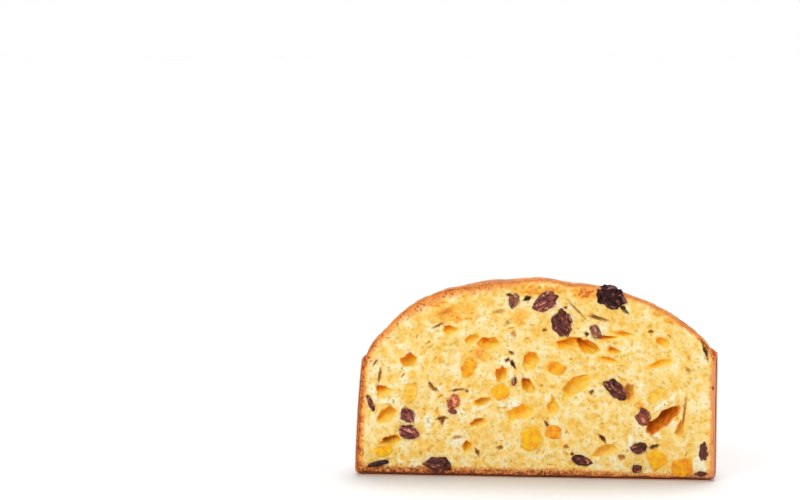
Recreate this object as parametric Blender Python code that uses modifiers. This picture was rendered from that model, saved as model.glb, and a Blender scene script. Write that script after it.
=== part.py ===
"""Half of a low panettone in its paper baking case, cut down the middle.

Metres, +Z up. The cut face looks towards -Y, the flat base rests on z = 0, and the
origin is under the middle of the half. The loaf's own axis lies in the cut.
"""

import math

import bmesh
import bpy
from mathutils import Matrix, Vector, noise

MM = 0.001

# Driving dimensions.
CASE_RADIUS = 95.0 * MM
CASE_HEIGHT = 64.5 * MM
CASE_THICKNESS = 0.6 * MM
CASE_CORNER = 4.0 * MM
LOAF_HEIGHT = 105.0 * MM
GAP = 0.3 * MM
POCKET_GAP = 0.4 * MM
WELD = 0.01 * MM

# The loaf's axis: the half reaches as far behind the origin as its face stands in front.
AXIS_Y = -47.0 * MM

# The loaf isn't a true turned shape: its left side leans in and its right shoulder is higher.
LEFT_LEAN = 0.022
SHOULDER_TILT = 1.6 * MM
DOME_BASE_RADIUS = 92.8 * MM
DOME_POWER = 0.64

# The crust turns from the dome into the wall over this height.
SHOULDER = 4.0 * MM

# Unevenness of the dome: x and y from the loaf's axis, height and width of each swelling, in mm.
DOME_SWELLS = (
    (-52, 0, 1.5, 17),
    (-80, 0, -2.0, 10),
    (52, 2, -1.1, 18),
    (79, 0, -2.2, 11),
    (6, 4, 0.9, 9),
    (-30, 38, 2.0, 20),
    (26, 46, 2.4, 17),
    (62, 40, -1.8, 15),
    (-66, 36, -2.2, 14),
    (0, 72, -2.4, 16),
    (-4, 26, -1.6, 12),
)

# The swellings are whole from this height above the case's rim.
SWELL_FROM = 10.0 * MM

# The case's rim: how far it flares outwards, and how much higher it stands on the right.
RIM_FLARE = 1.0 * MM
RIM_FLARE_HEIGHT = 5.0 * MM
RIM_TILT = 2.2 * MM
RIM_WAVE = 0.7 * MM
RIM_WAVES = 5

# Mesh fineness.
TURN_STEPS = 56
WALL_STEPS = 4
RIM_STEPS = 3
DOME_STEPS = 10
BASE_STEPS = 2
CORNER_STEPS = 3
FACE_COLUMNS = 29
FACE_ROWS = 16
COARSE_BALL = (9, 5)
FINE_BALL = (12, 6)
FINE_FROM_LENGTH = 10.0 * MM

# Relief of the torn crumb on the cut face.
TEAR_DEPTH = 0.8 * MM
TEAR_SCALE = 24.0 * MM
CRUMB_DEPTH = 0.5 * MM
CRUMB_SCALE = 10.0 * MM

# The knife's block passes the loaf by this much all round.
KNIFE_MARGIN = 8.0 * MM

# Raisins on the cut face, in mm: x, z, length, width, tilt in degrees, how far each stands out.
FACE_RAISINS = (
    (41.0, 95.2, 14.5, 12.0, -12, 1.0),
    (5.5, 91.5, 13.5, 8.0, 30, 0.5),
    (14.0, 81.0, 12.5, 10.0, -72, 1.0),
    (-11.0, 91.0, 8.5, 4.8, 65, 0.2),
    (32.0, 77.0, 8.0, 5.5, -55, 0.6),
    (42.5, 46.0, 14.0, 8.5, -48, 0.8),
    (57.0, 31.5, 9.5, 7.5, -70, 0.6),
    (-67.5, 30.4, 8.0, 7.5, -50, 0.8),
    (-67.0, 21.2, 10.5, 7.0, -20, 0.8),
    (-51.5, 5.8, 12.5, 7.2, 0, 0.9),
    (25.0, 7.5, 11.5, 6.0, -12, 0.8),
    (54.0, 15.0, 9.5, 6.0, 5, 0.7),
    (-87.2, 36.8, 8.5, 3.2, -60, 0.2),
    (-44.0, 37.8, 7.5, 5.6, 58, 0.7),
    (-43.4, 32.2, 4.8, 3.0, -10, 0.4),
    (88.0, 13.8, 11.0, 5.0, 80, 0.2),
    (53.0, 4.6, 6.0, 3.8, 15, 0.5),
    (-11.4, 49.5, 4.8, 2.6, 85, 0.3),
    (86.6, 4.0, 7.0, 3.0, 0, 0.3),
    (-84.0, 4.6, 8.5, 2.6, 8, 0.2),
)

# Raisins baked into the dome behind the cut, in mm and degrees: x and y from the loaf's
# axis, length, width, turn round the upright.
DOME_RAISINS = (
    (-26, 68, 12.0, 9.0, 25),
    (17, 55, 13.0, 9.5, -40),
    (58, 50, 10.5, 8.0, 70),
    (-60, 48, 11.5, 8.5, 5),
)

# Cubes of candied orange and citron peel on the cut face, in mm: x, z, length, width, tilt.
CANDIED_CUBES = (
    (-2.5, 19.2, 10.5, 11.0, 12),
    (78.0, 7.2, 11.0, 9.4, 3),
    (64.8, 9.6, 8.5, 9.6, 28),
    (-79.5, 11.2, 9.0, 5.4, 8),
    (-19.0, 44.0, 8.0, 5.6, 30),
    (11.0, 56.2, 8.6, 5.4, -14),
    (-66.0, 43.6, 6.0, 8.6, -8),
    (-35.6, 53.4, 6.0, 9.4, -32),
    (62.0, 43.6, 9.5, 5.0, 40),
    (8.6, 22.4, 6.4, 7.0, -12),
)
CUBE_STAND_OUT = 0.4 * MM
CUBE_DEPTH = 8.0 * MM
CUBE_ROUNDING = 1.3 * MM

# A raisin's depth behind the cut as a share of its width, and how far one stands out of the dome.
RAISIN_DEPTH = 0.55
DOME_STAND_OUT = 2.4
DOME_SINK = 0.6 * MM

# Dents of the raisins and the air holes, as a share of their size, and how many they are.
RAISIN_DENTS = 0.28
HOLE_DENTS = 0.35
DENTS_ROUND = 1.9

# Each piece's dents come from its number, counted on from here.
FACE_SEED = 0.37
DOME_SEED = 40.37
HOLE_SEED = 60.37

# How far a pocket reaches out of the crumb, so that it is open at the front.
POCKET_FRONT = 3.0 * MM

# Larger air holes in the crumb, in mm: x, z, length, width, tilt in degrees, depth.
AIR_HOLES = (
    (-65.5, 59.0, 8.5, 8.0, 0, 5.0),
    (-45.0, 76.0, 6.5, 3.8, -10, 3.0),
    (-32.5, 70.5, 8.5, 4.4, 38, 3.2),
    (-24.5, 68.0, 10.0, 7.4, 12, 4.2),
    (-19.5, 51.8, 9.0, 5.6, 78, 4.4),
    (-3.0, 60.0, 9.8, 8.2, 60, 3.8),
    (20.0, 69.8, 14.0, 4.8, -4, 5.0),
    (30.5, 67.2, 13.0, 5.2, -28, 6.0),
    (34.0, 83.5, 10.5, 2.2, -10, 4.0),
    (42.5, 65.5, 7.0, 2.8, -22, 3.0),
    (21.0, 46.0, 17.0, 9.0, 38, 5.0),
    (9.0, 34.5, 10.5, 6.2, 85, 3.4),
    (-8.5, 32.0, 16.5, 7.4, 18, 4.2),
    (-81.0, 43.5, 8.0, 6.4, 10, 4.2),
    (-77.5, 31.0, 10.5, 7.2, 35, 4.6),
    (-78.0, 18.2, 10.0, 4.6, 12, 7.0),
    (-30.5, 27.0, 8.0, 4.4, 12, 5.0),
    (-29.0, 39.0, 7.5, 3.8, 20, 3.6),
    (-35.5, 14.4, 6.6, 5.4, 60, 3.8),
    (76.5, 28.5, 11.0, 3.6, 75, 3.4),
    (68.6, 30.6, 14.5, 7.8, 43, 12.0),
    (62.8, 25.6, 8.5, 6.4, 60, 10.0),
    (-4.5, 93.0, 5.4, 2.2, 8, 4.4),
    (40.5, 61.5, 9.0, 2.4, -14, 2.6),
    (48.0, 74.5, 8.0, 2.4, -10, 2.4),
    (-47.0, 85.0, 11.0, 4.6, 26, 2.6),
    (36.0, 13.5, 12.5, 4.4, 24, 3.0),
    (67.5, 70.5, 7.6, 4.0, -30, 2.2),
    (65.5, 60.0, 10.0, 2.8, 12, 2.2),
    (-15.5, 77.5, 9.5, 3.4, 16, 2.2),
    (7.5, 69.5, 6.5, 3.4, -20, 2.4),
    (50.2, 44.0, 7.0, 5.0, 80, 4.0),
    (-3.4, 46.2, 8.4, 5.2, -52, 4.4),
)

# Base colour and roughness.
COLOURS = {
    "bread": ((0.80, 0.44, 0.12), 0.85),
    "case": ((0.42, 0.19, 0.08), 0.75),
    "raisin": ((0.07, 0.025, 0.03), 0.45),
    "candied": ((0.90, 0.42, 0.03), 0.30),
}


def clear_scene():
    for old in list(bpy.data.objects):
        bpy.data.objects.remove(old, do_unlink=True)


def new_collection(name):
    made = bpy.data.collections.new(name)
    bpy.context.scene.collection.children.link(made)
    return made


def material(name):
    """The named material: one Principled shader with the part's colour and roughness."""
    made = bpy.data.materials.get(name)
    if made:
        return made
    colour, roughness = COLOURS[name]
    made = bpy.data.materials.new(name)
    made.use_nodes = True
    shader = made.node_tree.nodes["Principled BSDF"]
    shader.inputs["Base Color"].default_value = (*colour, 1)
    shader.inputs["Roughness"].default_value = roughness
    shader.inputs["Metallic"].default_value = 0.0
    made.diffuse_color = (*colour, 1)
    return made


def add_object(name, mesh, collection, material_name=None):
    made = bpy.data.objects.new(name, mesh)
    collection.objects.link(made)
    if material_name:
        made.data.materials.append(material(material_name))
    return made


def as_helper(obj):
    """Marks an object as a cutter, which isn't part of the loaf."""
    obj.hide_render = True
    obj.display_type = "WIRE"
    return obj


def mesh_of_points(name, points, edges):
    mesh = bpy.data.meshes.new(name)
    mesh.from_pydata(points, edges, [])
    return mesh


def applied(obj):
    """The object with its modifiers made into its mesh."""
    bpy.context.view_layer.update()
    graph = bpy.context.evaluated_depsgraph_get()
    mesh = bpy.data.meshes.new_from_object(obj.evaluated_get(graph))
    obj.modifiers.clear()
    obj.data = mesh
    return obj


def span(start, end, steps):
    """Evenly spaced values from start to end, both of them included."""
    return [start + (end - start) * i / steps for i in range(steps + 1)]


# Shape of the whole loaf, in the loaf's own frame: the axis is at x = y = 0.


def dome_height(radius):
    """Height of the crust over a point this far from the axis, before the loaf is made uneven."""
    share = min(1.0, radius / DOME_BASE_RADIUS)
    rise = LOAF_HEIGHT - CASE_HEIGHT
    return CASE_HEIGHT + rise * (1 - share * share) ** DOME_POWER


def dome_swell(x, y):
    """How far the uneven crust lies above the even dome."""
    total = 0.0
    for at_x, at_y, height, width in DOME_SWELLS:
        away = ((x / MM - at_x) ** 2 + (y / MM - at_y) ** 2) / width**2
        total += height * MM * math.exp(-away)
    return total


def uneven(point):
    """Moves a point of the even loaf or case to its place in the real, leaning one."""
    x, y, z = point
    up = min(1.0, max(0.0, z / CASE_HEIGHT))
    side = x / CASE_RADIUS
    inwards = 1 - LEFT_LEAN * (1 - side) / 2 * up
    swelling = min(1.0, max(0.0, z - CASE_HEIGHT) / SWELL_FROM)
    lift = SHOULDER_TILT * side * up + dome_swell(x, y) * swelling
    return Vector((x * inwards, y * inwards, z + lift))


def turned(name, profile, collection, angle, start=0.0):
    """A profile turned about the axis, from the start angle and over +Y, then made uneven."""
    across = Vector((math.cos(start), math.sin(start), 0))
    points = [across * r + Vector((0, 0, z)) for r, z in profile]
    edges = [(i, i + 1) for i in range(len(points) - 1)]
    obj = add_object(name, mesh_of_points(name, points, edges), collection)
    screw = obj.modifiers.new("turn", "SCREW")
    screw.angle = angle
    screw.steps = screw.render_steps = round(TURN_STEPS * angle / math.tau)
    screw.use_merge_vertices = True
    screw.merge_threshold = WELD
    screw.use_smooth_shade = True
    applied(obj)
    for vertex in obj.data.vertices:
        vertex.co = uneven(vertex.co) + Vector((0, AXIS_Y, 0))
    return obj


def faces_outwards(obj):
    """Turns every face of a closed mesh outwards."""
    work = bmesh.new()
    work.from_mesh(obj.data)
    bmesh.ops.remove_doubles(work, verts=work.verts, dist=WELD)
    bmesh.ops.recalc_face_normals(work, faces=work.faces)
    work.to_mesh(obj.data)
    work.free()
    return obj


def keep_largest(obj):
    """Drops the loose scraps that a cut leaves."""
    work = bmesh.new()
    work.from_mesh(obj.data)
    left = set(work.verts)
    islands = []
    while left:
        island, front = set(), [left.pop()]
        while front:
            vertex = front.pop()
            island.add(vertex)
            for edge in vertex.link_edges:
                other = edge.other_vert(vertex)
                if other in left:
                    left.discard(other)
                    front.append(other)
        islands.append(island)
    islands.sort(key=len)
    for island in islands[:-1]:
        bmesh.ops.delete(work, geom=list(island), context="VERTS")
    work.to_mesh(obj.data)
    work.free()
    return obj


# The paper case.


def case_profile():
    """Outer face of the case, from its rim down, round the corner and to the middle of its base."""
    centre = CASE_RADIUS - CASE_CORNER
    points = [(r, 0.0) for r in span(0, centre, BASE_STEPS)]
    for i in range(1, CORNER_STEPS + 1):
        turn = math.pi / 2 * i / CORNER_STEPS
        out, up = math.sin(turn), 1 - math.cos(turn)
        points.append((centre + CASE_CORNER * out, CASE_CORNER * up))
    rim_start = CASE_HEIGHT - RIM_FLARE_HEIGHT
    points += [(CASE_RADIUS, z) for z in span(CASE_CORNER, rim_start, WALL_STEPS)[1:]]
    points += [(CASE_RADIUS, z) for z in span(rim_start, CASE_HEIGHT, RIM_STEPS)[1:]]
    return points[::-1]


def shape_rim(obj):
    """Flares the case's rim, most on the right, and lets its edge run up and down a little."""
    for vertex in obj.data.vertices:
        x, y = vertex.co.x, vertex.co.y - AXIS_Y
        angle = math.atan2(y, x)
        above = vertex.co.z - (CASE_HEIGHT - 2 * RIM_FLARE_HEIGHT)
        up = min(1.0, max(0.0, above / (2 * RIM_FLARE_HEIGHT)))
        flare = RIM_FLARE * (0.55 + 0.45 * math.cos(angle)) * up**3
        edge = RIM_TILT * math.cos(angle) + RIM_WAVE * math.sin(RIM_WAVES * angle)
        outwards = Vector((math.cos(angle), math.sin(angle), 0))
        vertex.co += outwards * flare + Vector((0, 0, edge * up))


def make_case(collection):
    case = turned("paper_case", case_profile(), collection, math.pi)
    shape_rim(case)
    wall = case.modifiers.new("paper", "SOLIDIFY")
    wall.thickness = CASE_THICKNESS
    wall.offset = -1
    wall.use_even_offset = True
    applied(case)
    faces_outwards(case)
    case.data.materials.clear()
    case.data.materials.append(material("case"))
    case.data.set_sharp_from_angle(angle=math.radians(50))
    return case


# The bread.


def bread_profile():
    """Crust of the whole loaf, from the middle of its dome, down the side and under the base."""
    inside = CASE_THICKNESS + GAP
    radius = CASE_RADIUS - inside
    corner = CASE_CORNER - inside
    centre = radius - corner
    shares = [math.sin(math.pi / 2 * i / DOME_STEPS) for i in range(DOME_STEPS + 1)]
    points = [(DOME_BASE_RADIUS * s, dome_height(DOME_BASE_RADIUS * s)) for s in shares]
    below = CASE_HEIGHT - SHOULDER
    points += [(radius, z) for z in span(below, inside + corner, WALL_STEPS)]
    for i in range(1, CORNER_STEPS + 1):
        turn = math.pi / 2 * i / CORNER_STEPS
        down = corner * (1 - math.sin(turn))
        points.append((centre + corner * math.cos(turn), inside + down))
    points += [(r, inside) for r in span(centre, 0, BASE_STEPS)[1:]]
    return points


def knife_block(collection):
    """What the knife took away: a block whose back is the torn relief of the cut crumb."""
    half_width = CASE_RADIUS + KNIFE_MARGIN
    height = LOAF_HEIGHT + 2 * KNIFE_MARGIN
    work = bmesh.new()
    bmesh.ops.create_grid(work, x_segments=FACE_COLUMNS, y_segments=FACE_ROWS, size=1.0)
    for vertex in work.verts:
        x = vertex.co.x * half_width
        z = (vertex.co.y + 1) / 2 * height - KNIFE_MARGIN
        tear = noise.noise(Vector((x, z, 0)) / TEAR_SCALE) * TEAR_DEPTH
        crumb = noise.noise(Vector((x, z, 0)) / CRUMB_SCALE) * CRUMB_DEPTH
        vertex.co = Vector((x, AXIS_Y + tear + crumb, z))
    front = bmesh.ops.extrude_face_region(work, geom=list(work.faces))["geom"]
    for part in front:
        if isinstance(part, bmesh.types.BMVert):
            part.co.y = AXIS_Y - CASE_RADIUS - KNIFE_MARGIN
    mesh = bpy.data.meshes.new("knife_block")
    work.to_mesh(mesh)
    work.free()
    return as_helper(faces_outwards(add_object("knife_block", mesh, collection)))


def place_on_face(x, z, tilt):
    """Matrix of a place on the cut face, its right end raised by the tilt."""
    move = Matrix.Translation((x * MM, AXIS_Y, z * MM))
    return move @ Matrix.Rotation(-math.radians(tilt), 4, "Y")


def dented_ball(name, size, seed, dents, grow=0.0):
    """A dented ball, its surface moved outwards by grow.

    The size is its half length, half width, and its reach in front of and behind the cut.
    """
    half_length, half_width, front, back = size
    fineness = FINE_BALL if half_length * 2 > FINE_FROM_LENGTH else COARSE_BALL
    work = bmesh.new()
    around, along = fineness
    bmesh.ops.create_uvsphere(work, u_segments=around, v_segments=along, radius=1.0)
    bmesh.ops.triangulate(work, faces=work.faces)
    for vertex in work.verts:
        away = Vector((vertex.co.x, vertex.co.z, -vertex.co.y))
        swell = 1 + dents * noise.noise(away * DENTS_ROUND + Vector((seed, seed, 0.5)))
        reach = front if away.y < 0 else back
        place = Vector((away.x * half_length, away.y * reach, away.z * half_width))
        vertex.co = place * swell + away * grow
    mesh = bpy.data.meshes.new(name)
    work.to_mesh(mesh)
    work.free()
    return mesh


def raisin_mesh(name, length, width, front, seed, grow=0.0):
    size = (length / 2 * MM, width / 2 * MM, front * MM, width * RAISIN_DEPTH * MM)
    return dented_ball(name, size, seed, RAISIN_DENTS, grow)


def raisin_with_pocket(name, length, width, fronts, seed, place, parts, cutters):
    """A raisin, and a slightly wider pocket for it in the bread."""
    raisin = raisin_mesh(name, length, width, fronts[0], seed)
    raisin = add_object(name, raisin, parts, "raisin")
    raisin.data.shade_smooth()
    pocket = raisin_mesh(name + "_pocket", length, width, fronts[1], seed, POCKET_GAP)
    pocket = as_helper(add_object(name + "_pocket", pocket, cutters))
    raisin.matrix_world = pocket.matrix_world = place


def face_raisins(parts, cutters):
    """Raisins that the knife laid open."""
    for i, (x, z, length, width, tilt, stand_out) in enumerate(FACE_RAISINS, 1):
        place = place_on_face(x, z, tilt)
        fronts = (stand_out, POCKET_FRONT / MM)
        name = f"raisin_{i:02d}"
        seed = FACE_SEED + i
        raisin_with_pocket(name, length, width, fronts, seed, place, parts, cutters)


def dome_raisins(parts, cutters):
    """Raisins half sunk in the crust behind the cut."""
    upright = Vector((0, 0, 1))
    for i, (x, y, length, width, turn) in enumerate(DOME_RAISINS, 1):
        top = uneven((x * MM, y * MM, dome_height(math.hypot(x, y) * MM)))
        slope = Vector((x, y, 0)) * MM / CASE_RADIUS
        lean = upright.rotation_difference(upright + slope)
        place = Matrix.Translation(top + Vector((0, AXIS_Y, -DOME_SINK)))
        place = place @ lean.to_matrix().to_4x4()
        place = place @ Matrix.Rotation(math.radians(turn), 4, "Z")
        place = place @ Matrix.Rotation(-math.pi / 2, 4, "X")
        fronts = (DOME_STAND_OUT, DOME_STAND_OUT)
        name = f"raisin_top_{i}"
        seed = DOME_SEED + i
        raisin_with_pocket(name, length, width, fronts, seed, place, parts, cutters)


def cube_object(name, length, width, grow, front, collection):
    """A cube of candied peel with rounded edges, its faces moved outwards by grow."""
    mesh = bpy.data.meshes.new(name)
    work = bmesh.new()
    bmesh.ops.create_cube(work, size=1.0)
    size = Vector((length * MM, CUBE_DEPTH, width * MM)) + Vector((grow, grow, grow)) * 2
    bmesh.ops.scale(work, vec=size, verts=work.verts)
    for vertex in work.verts:
        if vertex.co.y < 0:
            vertex.co.y = -CUBE_DEPTH / 2 - front
    work.to_mesh(mesh)
    work.free()
    obj = add_object(name, mesh, collection)
    rounding = obj.modifiers.new("rounding", "BEVEL")
    rounding.width = CUBE_ROUNDING
    rounding.segments = 2
    rounding.limit_method = "NONE"
    return obj


def candied_cubes(parts, cutters):
    """Cubes of candied peel on the cut face, each with a slightly wider pocket."""
    for i, (x, z, length, width, tilt) in enumerate(CANDIED_CUBES, 1):
        place = place_on_face(x, z, tilt)
        place.translation.y += CUBE_DEPTH / 2 - CUBE_STAND_OUT
        name = f"candied_orange_{i:02d}"
        cube = cube_object(name, length, width, 0.0, 0.0, parts)
        cube.data.materials.append(material("candied"))
        pocket = cube_object(name + "_pocket", length, width, POCKET_GAP, POCKET_FRONT, cutters)
        as_helper(pocket)
        cube.matrix_world = pocket.matrix_world = place


def air_holes(cutters):
    """The larger air holes that open in the cut face."""
    for i, (x, z, length, width, tilt, depth) in enumerate(AIR_HOLES, 1):
        size = (length / 2 * MM, width / 2 * MM, POCKET_FRONT, depth * MM)
        name = f"air_hole_{i:02d}"
        mesh = dented_ball(name, size, i + HOLE_SEED, HOLE_DENTS)
        hole = as_helper(add_object(name, mesh, cutters))
        hole.matrix_world = place_on_face(x, z, tilt)


def make_bread(parts, cutters):
    half_step = math.pi / TURN_STEPS
    bread = turned("bread", bread_profile(), parts, math.tau, half_step)
    faces_outwards(bread)
    half = bread.modifiers.new("knife", "BOOLEAN")
    half.operation = "DIFFERENCE"
    half.object = knife_block(new_collection("knife"))
    applied(bread)
    pockets = bread.modifiers.new("pockets", "BOOLEAN")
    pockets.operation = "DIFFERENCE"
    pockets.operand_type = "COLLECTION"
    pockets.collection = cutters
    applied(bread)
    keep_largest(bread)
    bread.data.materials.clear()
    bread.data.materials.append(material("bread"))
    bread.data.shade_smooth()
    bread.data.set_sharp_from_angle(angle=math.radians(45))
    return bread


def main():
    clear_scene()
    parts = new_collection("panettone_half")
    cutters = new_collection("pockets_and_air_holes")
    make_case(parts)
    face_raisins(parts, cutters)
    dome_raisins(parts, cutters)
    candied_cubes(parts, cutters)
    air_holes(cutters)
    make_bread(parts, cutters)


main()
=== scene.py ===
"""Looks of half a low panettone in its paper baking case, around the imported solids.

Lengths are in millimetres in the loaf's own frame, unless a name says otherwise: x and y from
the loaf's axis, which lies in the cut, y into the loaf, and z up from the table.
"""

import math
from functools import cache

import bmesh
import bpy
import numpy as np
from mathutils import Matrix, Vector, noise


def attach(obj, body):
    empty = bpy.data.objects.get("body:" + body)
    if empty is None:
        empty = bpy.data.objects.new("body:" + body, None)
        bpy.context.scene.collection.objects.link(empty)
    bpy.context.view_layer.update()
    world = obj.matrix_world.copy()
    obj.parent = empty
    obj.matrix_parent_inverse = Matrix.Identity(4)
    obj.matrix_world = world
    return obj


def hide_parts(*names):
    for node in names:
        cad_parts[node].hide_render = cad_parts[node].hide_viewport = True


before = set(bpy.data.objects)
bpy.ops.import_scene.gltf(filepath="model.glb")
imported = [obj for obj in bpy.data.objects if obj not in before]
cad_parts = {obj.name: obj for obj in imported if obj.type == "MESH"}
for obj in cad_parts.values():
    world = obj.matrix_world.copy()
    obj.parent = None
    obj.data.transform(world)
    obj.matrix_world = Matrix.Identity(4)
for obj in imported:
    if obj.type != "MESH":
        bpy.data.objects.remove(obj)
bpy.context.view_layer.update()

MM = 0.001

# Driving dimensions of the loaf and its case: those of the solids, with a stronger lean.
CASE_RADIUS = 95.0
CASE_HEIGHT = 64.5
CASE_CORNER = 4.0
LOAF_HEIGHT = 105.0
BREAD_INSET = 0.9
AXIS_Y = -47.0
LEFT_LEAN = 0.04
LEAN_CURVE = 1.5
SHOULDER_TILT = 1.6
DOME_BASE_RADIUS = 92.8
DOME_POWER = 0.64
SHOULDER = 1.0
SWELL_FROM = 10.0
BREAD_SPREAD = 0.25
BREAD_RADIUS = CASE_RADIUS - BREAD_INSET + BREAD_SPREAD
BREAD_CORNER = CASE_CORNER - BREAD_INSET

# Unevenness of the dome: x, y, height, width and depth of each swelling.
DOME_SWELLS = (
    (-54, 0, 2.7, 20, 20),
    (-84, 0, -1.2, 7, 16),
    (-71, 0, 0.8, 7, 14),
    (17, 4, -1.2, 8, 30),
    (52, 0, -0.6, 18, 34),
    (79, 0, -1.6, 12, 34),
    (6, 4, 0.9, 9, 9),
    (-30, 38, 2.0, 20, 20),
    (28, 36, -1.4, 16, 24),
    (62, 36, -2.6, 18, 20),
    (-66, 36, -2.2, 14, 14),
    (0, 72, -2.4, 16, 16),
    (-4, 26, -1.6, 12, 12),
)

# The case's rim: how far it is drawn in at each side and over which height, how much higher it
# stands on the right, its waves, and its tip at the right end of the cut.
RIM_IN_RIGHT = 0.1
RIM_IN_LEFT = 0.3
RIM_REACH = 10.0
RIM_TILT = 0.7
RIM_WAVE = 0.7
RIM_WAVES = 5
RIM_TIP = 1.2
RIM_TIP_TURN = 0.06

# Relief of the cut face: depth and scale of each layer, the coarsest two as in the solids.
TEAR_DEPTH, TEAR_SCALE = 0.8, 24.0
CRUMB_DEPTH, CRUMB_SCALE = 0.5, 10.0
LUMP_DEPTH, LUMP_SCALE = 0.9, 6.5
RIDGE_DEPTH, RIDGE_SCALE = 0.3, 2.6
GRAIN_DEPTH, GRAIN_SCALE = 0.06, 1.2

# How rough the cut is: on average, how much that varies and over what size, how much rougher
# it is below a height, and in how many mm it gets smoother by 1 towards the right.
ROUGH = 0.5
ROUGH_VARIES, ROUGH_SIZE = 0.4, 30
ROUGH_LOW_DOWN, ROUGH_HEIGHT = 0.3, 45
SMOOTHER_BY = 700
ROUGH_RANGE = (0.25, 1.0)

# Raisins on the cut face: x, z, length, width, tilt in degrees, how far each stands out, look.
FACE_RAISINS = (
    (38.9, 96.2, 15.6, 12.0, -32, 1.0, "black"),
    (5.3, 93.5, 13.5, 8.5, 28, 0.5, "plum"),
    (14.2, 82.8, 13.2, 10.2, -76, 1.0, "dark"),
    (-11.1, 93.6, 8.5, 5.0, 62, 0.2, "brown"),
    (32.0, 78.0, 8.0, 5.6, -55, 0.6, "brown"),
    (42.4, 48.0, 14.0, 8.2, -48, 0.8, "dark"),
    (57.1, 33.3, 8.8, 7.0, -66, 0.6, "rust"),
    (-66.9, 32.3, 9.2, 7.0, -60, 0.8, "plum"),
    (-66.5, 23.1, 11.5, 7.4, -18, 0.8, "plum"),
    (-50.7, 6.2, 14.2, 8.4, 0, 0.9, "dark"),
    (24.8, 9.6, 11.2, 5.8, -12, 0.8, "dark"),
    (54.9, 16.8, 8.0, 6.2, 5, 0.7, "dark"),
    (-86.3, 38.4, 10.4, 2.7, -66, 0.2, "dark"),
    (-43.0, 39.6, 8.0, 6.0, 58, 0.7, "amber"),
    (-43.2, 34.8, 5.2, 3.0, -12, 0.4, "plum"),
    (88.3, 15.2, 9.4, 4.6, 84, 0.2, "dark"),
    (53.9, 5.8, 5.4, 4.6, 10, 0.5, "dark"),
    (-10.7, 51.3, 5.2, 2.8, 82, 0.3, "brown"),
    (87.4, 3.9, 6.6, 2.8, 4, 0.3, "dark"),
    (-82.6, 6.2, 11.5, 2.8, 12, 0.2, "baked"),
)

# Raisins baked into the dome behind the cut: x, y, length, width, turn round the upright.
DOME_RAISINS = (
    (-26, 68, 12.0, 9.0, 25),
    (17, 55, 13.0, 9.5, -40),
    (58, 50, 10.5, 8.0, 70),
    (-60, 48, 11.5, 8.5, 5),
)

# Cubes of candied peel on the cut face: x, z, length, width, tilt in degrees, look.
CANDIED_CUBES = (
    (-1.4, 21.0, 11.0, 12.0, 12, "yellow"),
    (77.7, 6.9, 10.8, 8.8, 3, "orange"),
    (64.2, 11.2, 9.2, 9.6, 28, "yellow"),
    (-79.5, 13.2, 9.0, 5.6, 8, "yellow"),
    (-17.9, 45.6, 8.4, 8.0, 30, "yellow"),
    (11.5, 58.3, 9.4, 6.2, -14, "orange"),
    (-65.2, 44.3, 6.4, 9.6, -8, "straw"),
    (-35.0, 57.4, 6.4, 10.0, -32, "orange"),
    (63.4, 45.0, 10.5, 5.2, 42, "straw"),
    (10.2, 24.6, 7.6, 7.2, -12, "orange"),
)
CUBE_STAND_OUT = 0.5
CUBE_DEPTH = 7.6
CUBE_SQUARENESS = 5

# Raisins: their depth as a share of their width, how far they stand out, and how far those
# on the dome sink into it.
RAISIN_DEPTH = 0.55
FACE_BULGE = 0.9
DOME_STAND_OUT = 2.4
DOME_SINK = 0.6

# Dents of each kind of piece and hole, how close together they lie, and where each kind's
# seeds start.
RAISIN_DENTS = 0.28
HOLE_DENTS = 0.35
PIT_DENTS = 0.75
CUBE_DENTS = 0.16
DENTS_ROUND = 1.9
FACE_SEED = 0.37
DOME_SEED = 40.37
HOLE_SEED = 60.37
PIT_SEED = 120.37
CUBE_SEED = 200.37

# Flat sides: how many, how far each lies from the middle, as a share, how far the rest may
# bulge, and how far a dented ball may reach beyond the even one.
RAISIN_FACETS = 9
HOLE_FACETS = 5
CUBE_CUTS = 4
FACET_CUT = 0.84
CUBE_CUT = 1.0
MOST_BULGE = 1.06
DENT_REACH = 1.4

# Pockets: how far each opens before the cut, how its edge is rounded, and how much it is
# smaller than its raisin or peel, so that crumb and piece meet.
POCKET_FRONT = 3.0
POCKET_SOFTNESS = 0.5
RAISIN_GAP = -0.25
CANDIED_GAP = -0.5
PIT_MARGIN = 0.1

# Air holes lean as they go deeper, so that their upper left edges overhang, and two are
# painted as dark all over with painted shade.
HOLE_LEAN = (-0.35, 0.6)
HOLE_SHADE_WAY = (-0.5, 0.86)
DARK_HOLES = (21, 22)
DARK_LEVEL = 0.8

# How deeply painted shade darkens the wall of any other hole: in its middle, and how much more
# at its upper left, which the light from the upper left leaves in shade, and at its back.
HOLE_LEVEL = 0.42
HOLE_UPPER_LEFT = 0.44
HOLE_BACK = 0.34
HOLE_BACK_FROM = 5.0
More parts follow.
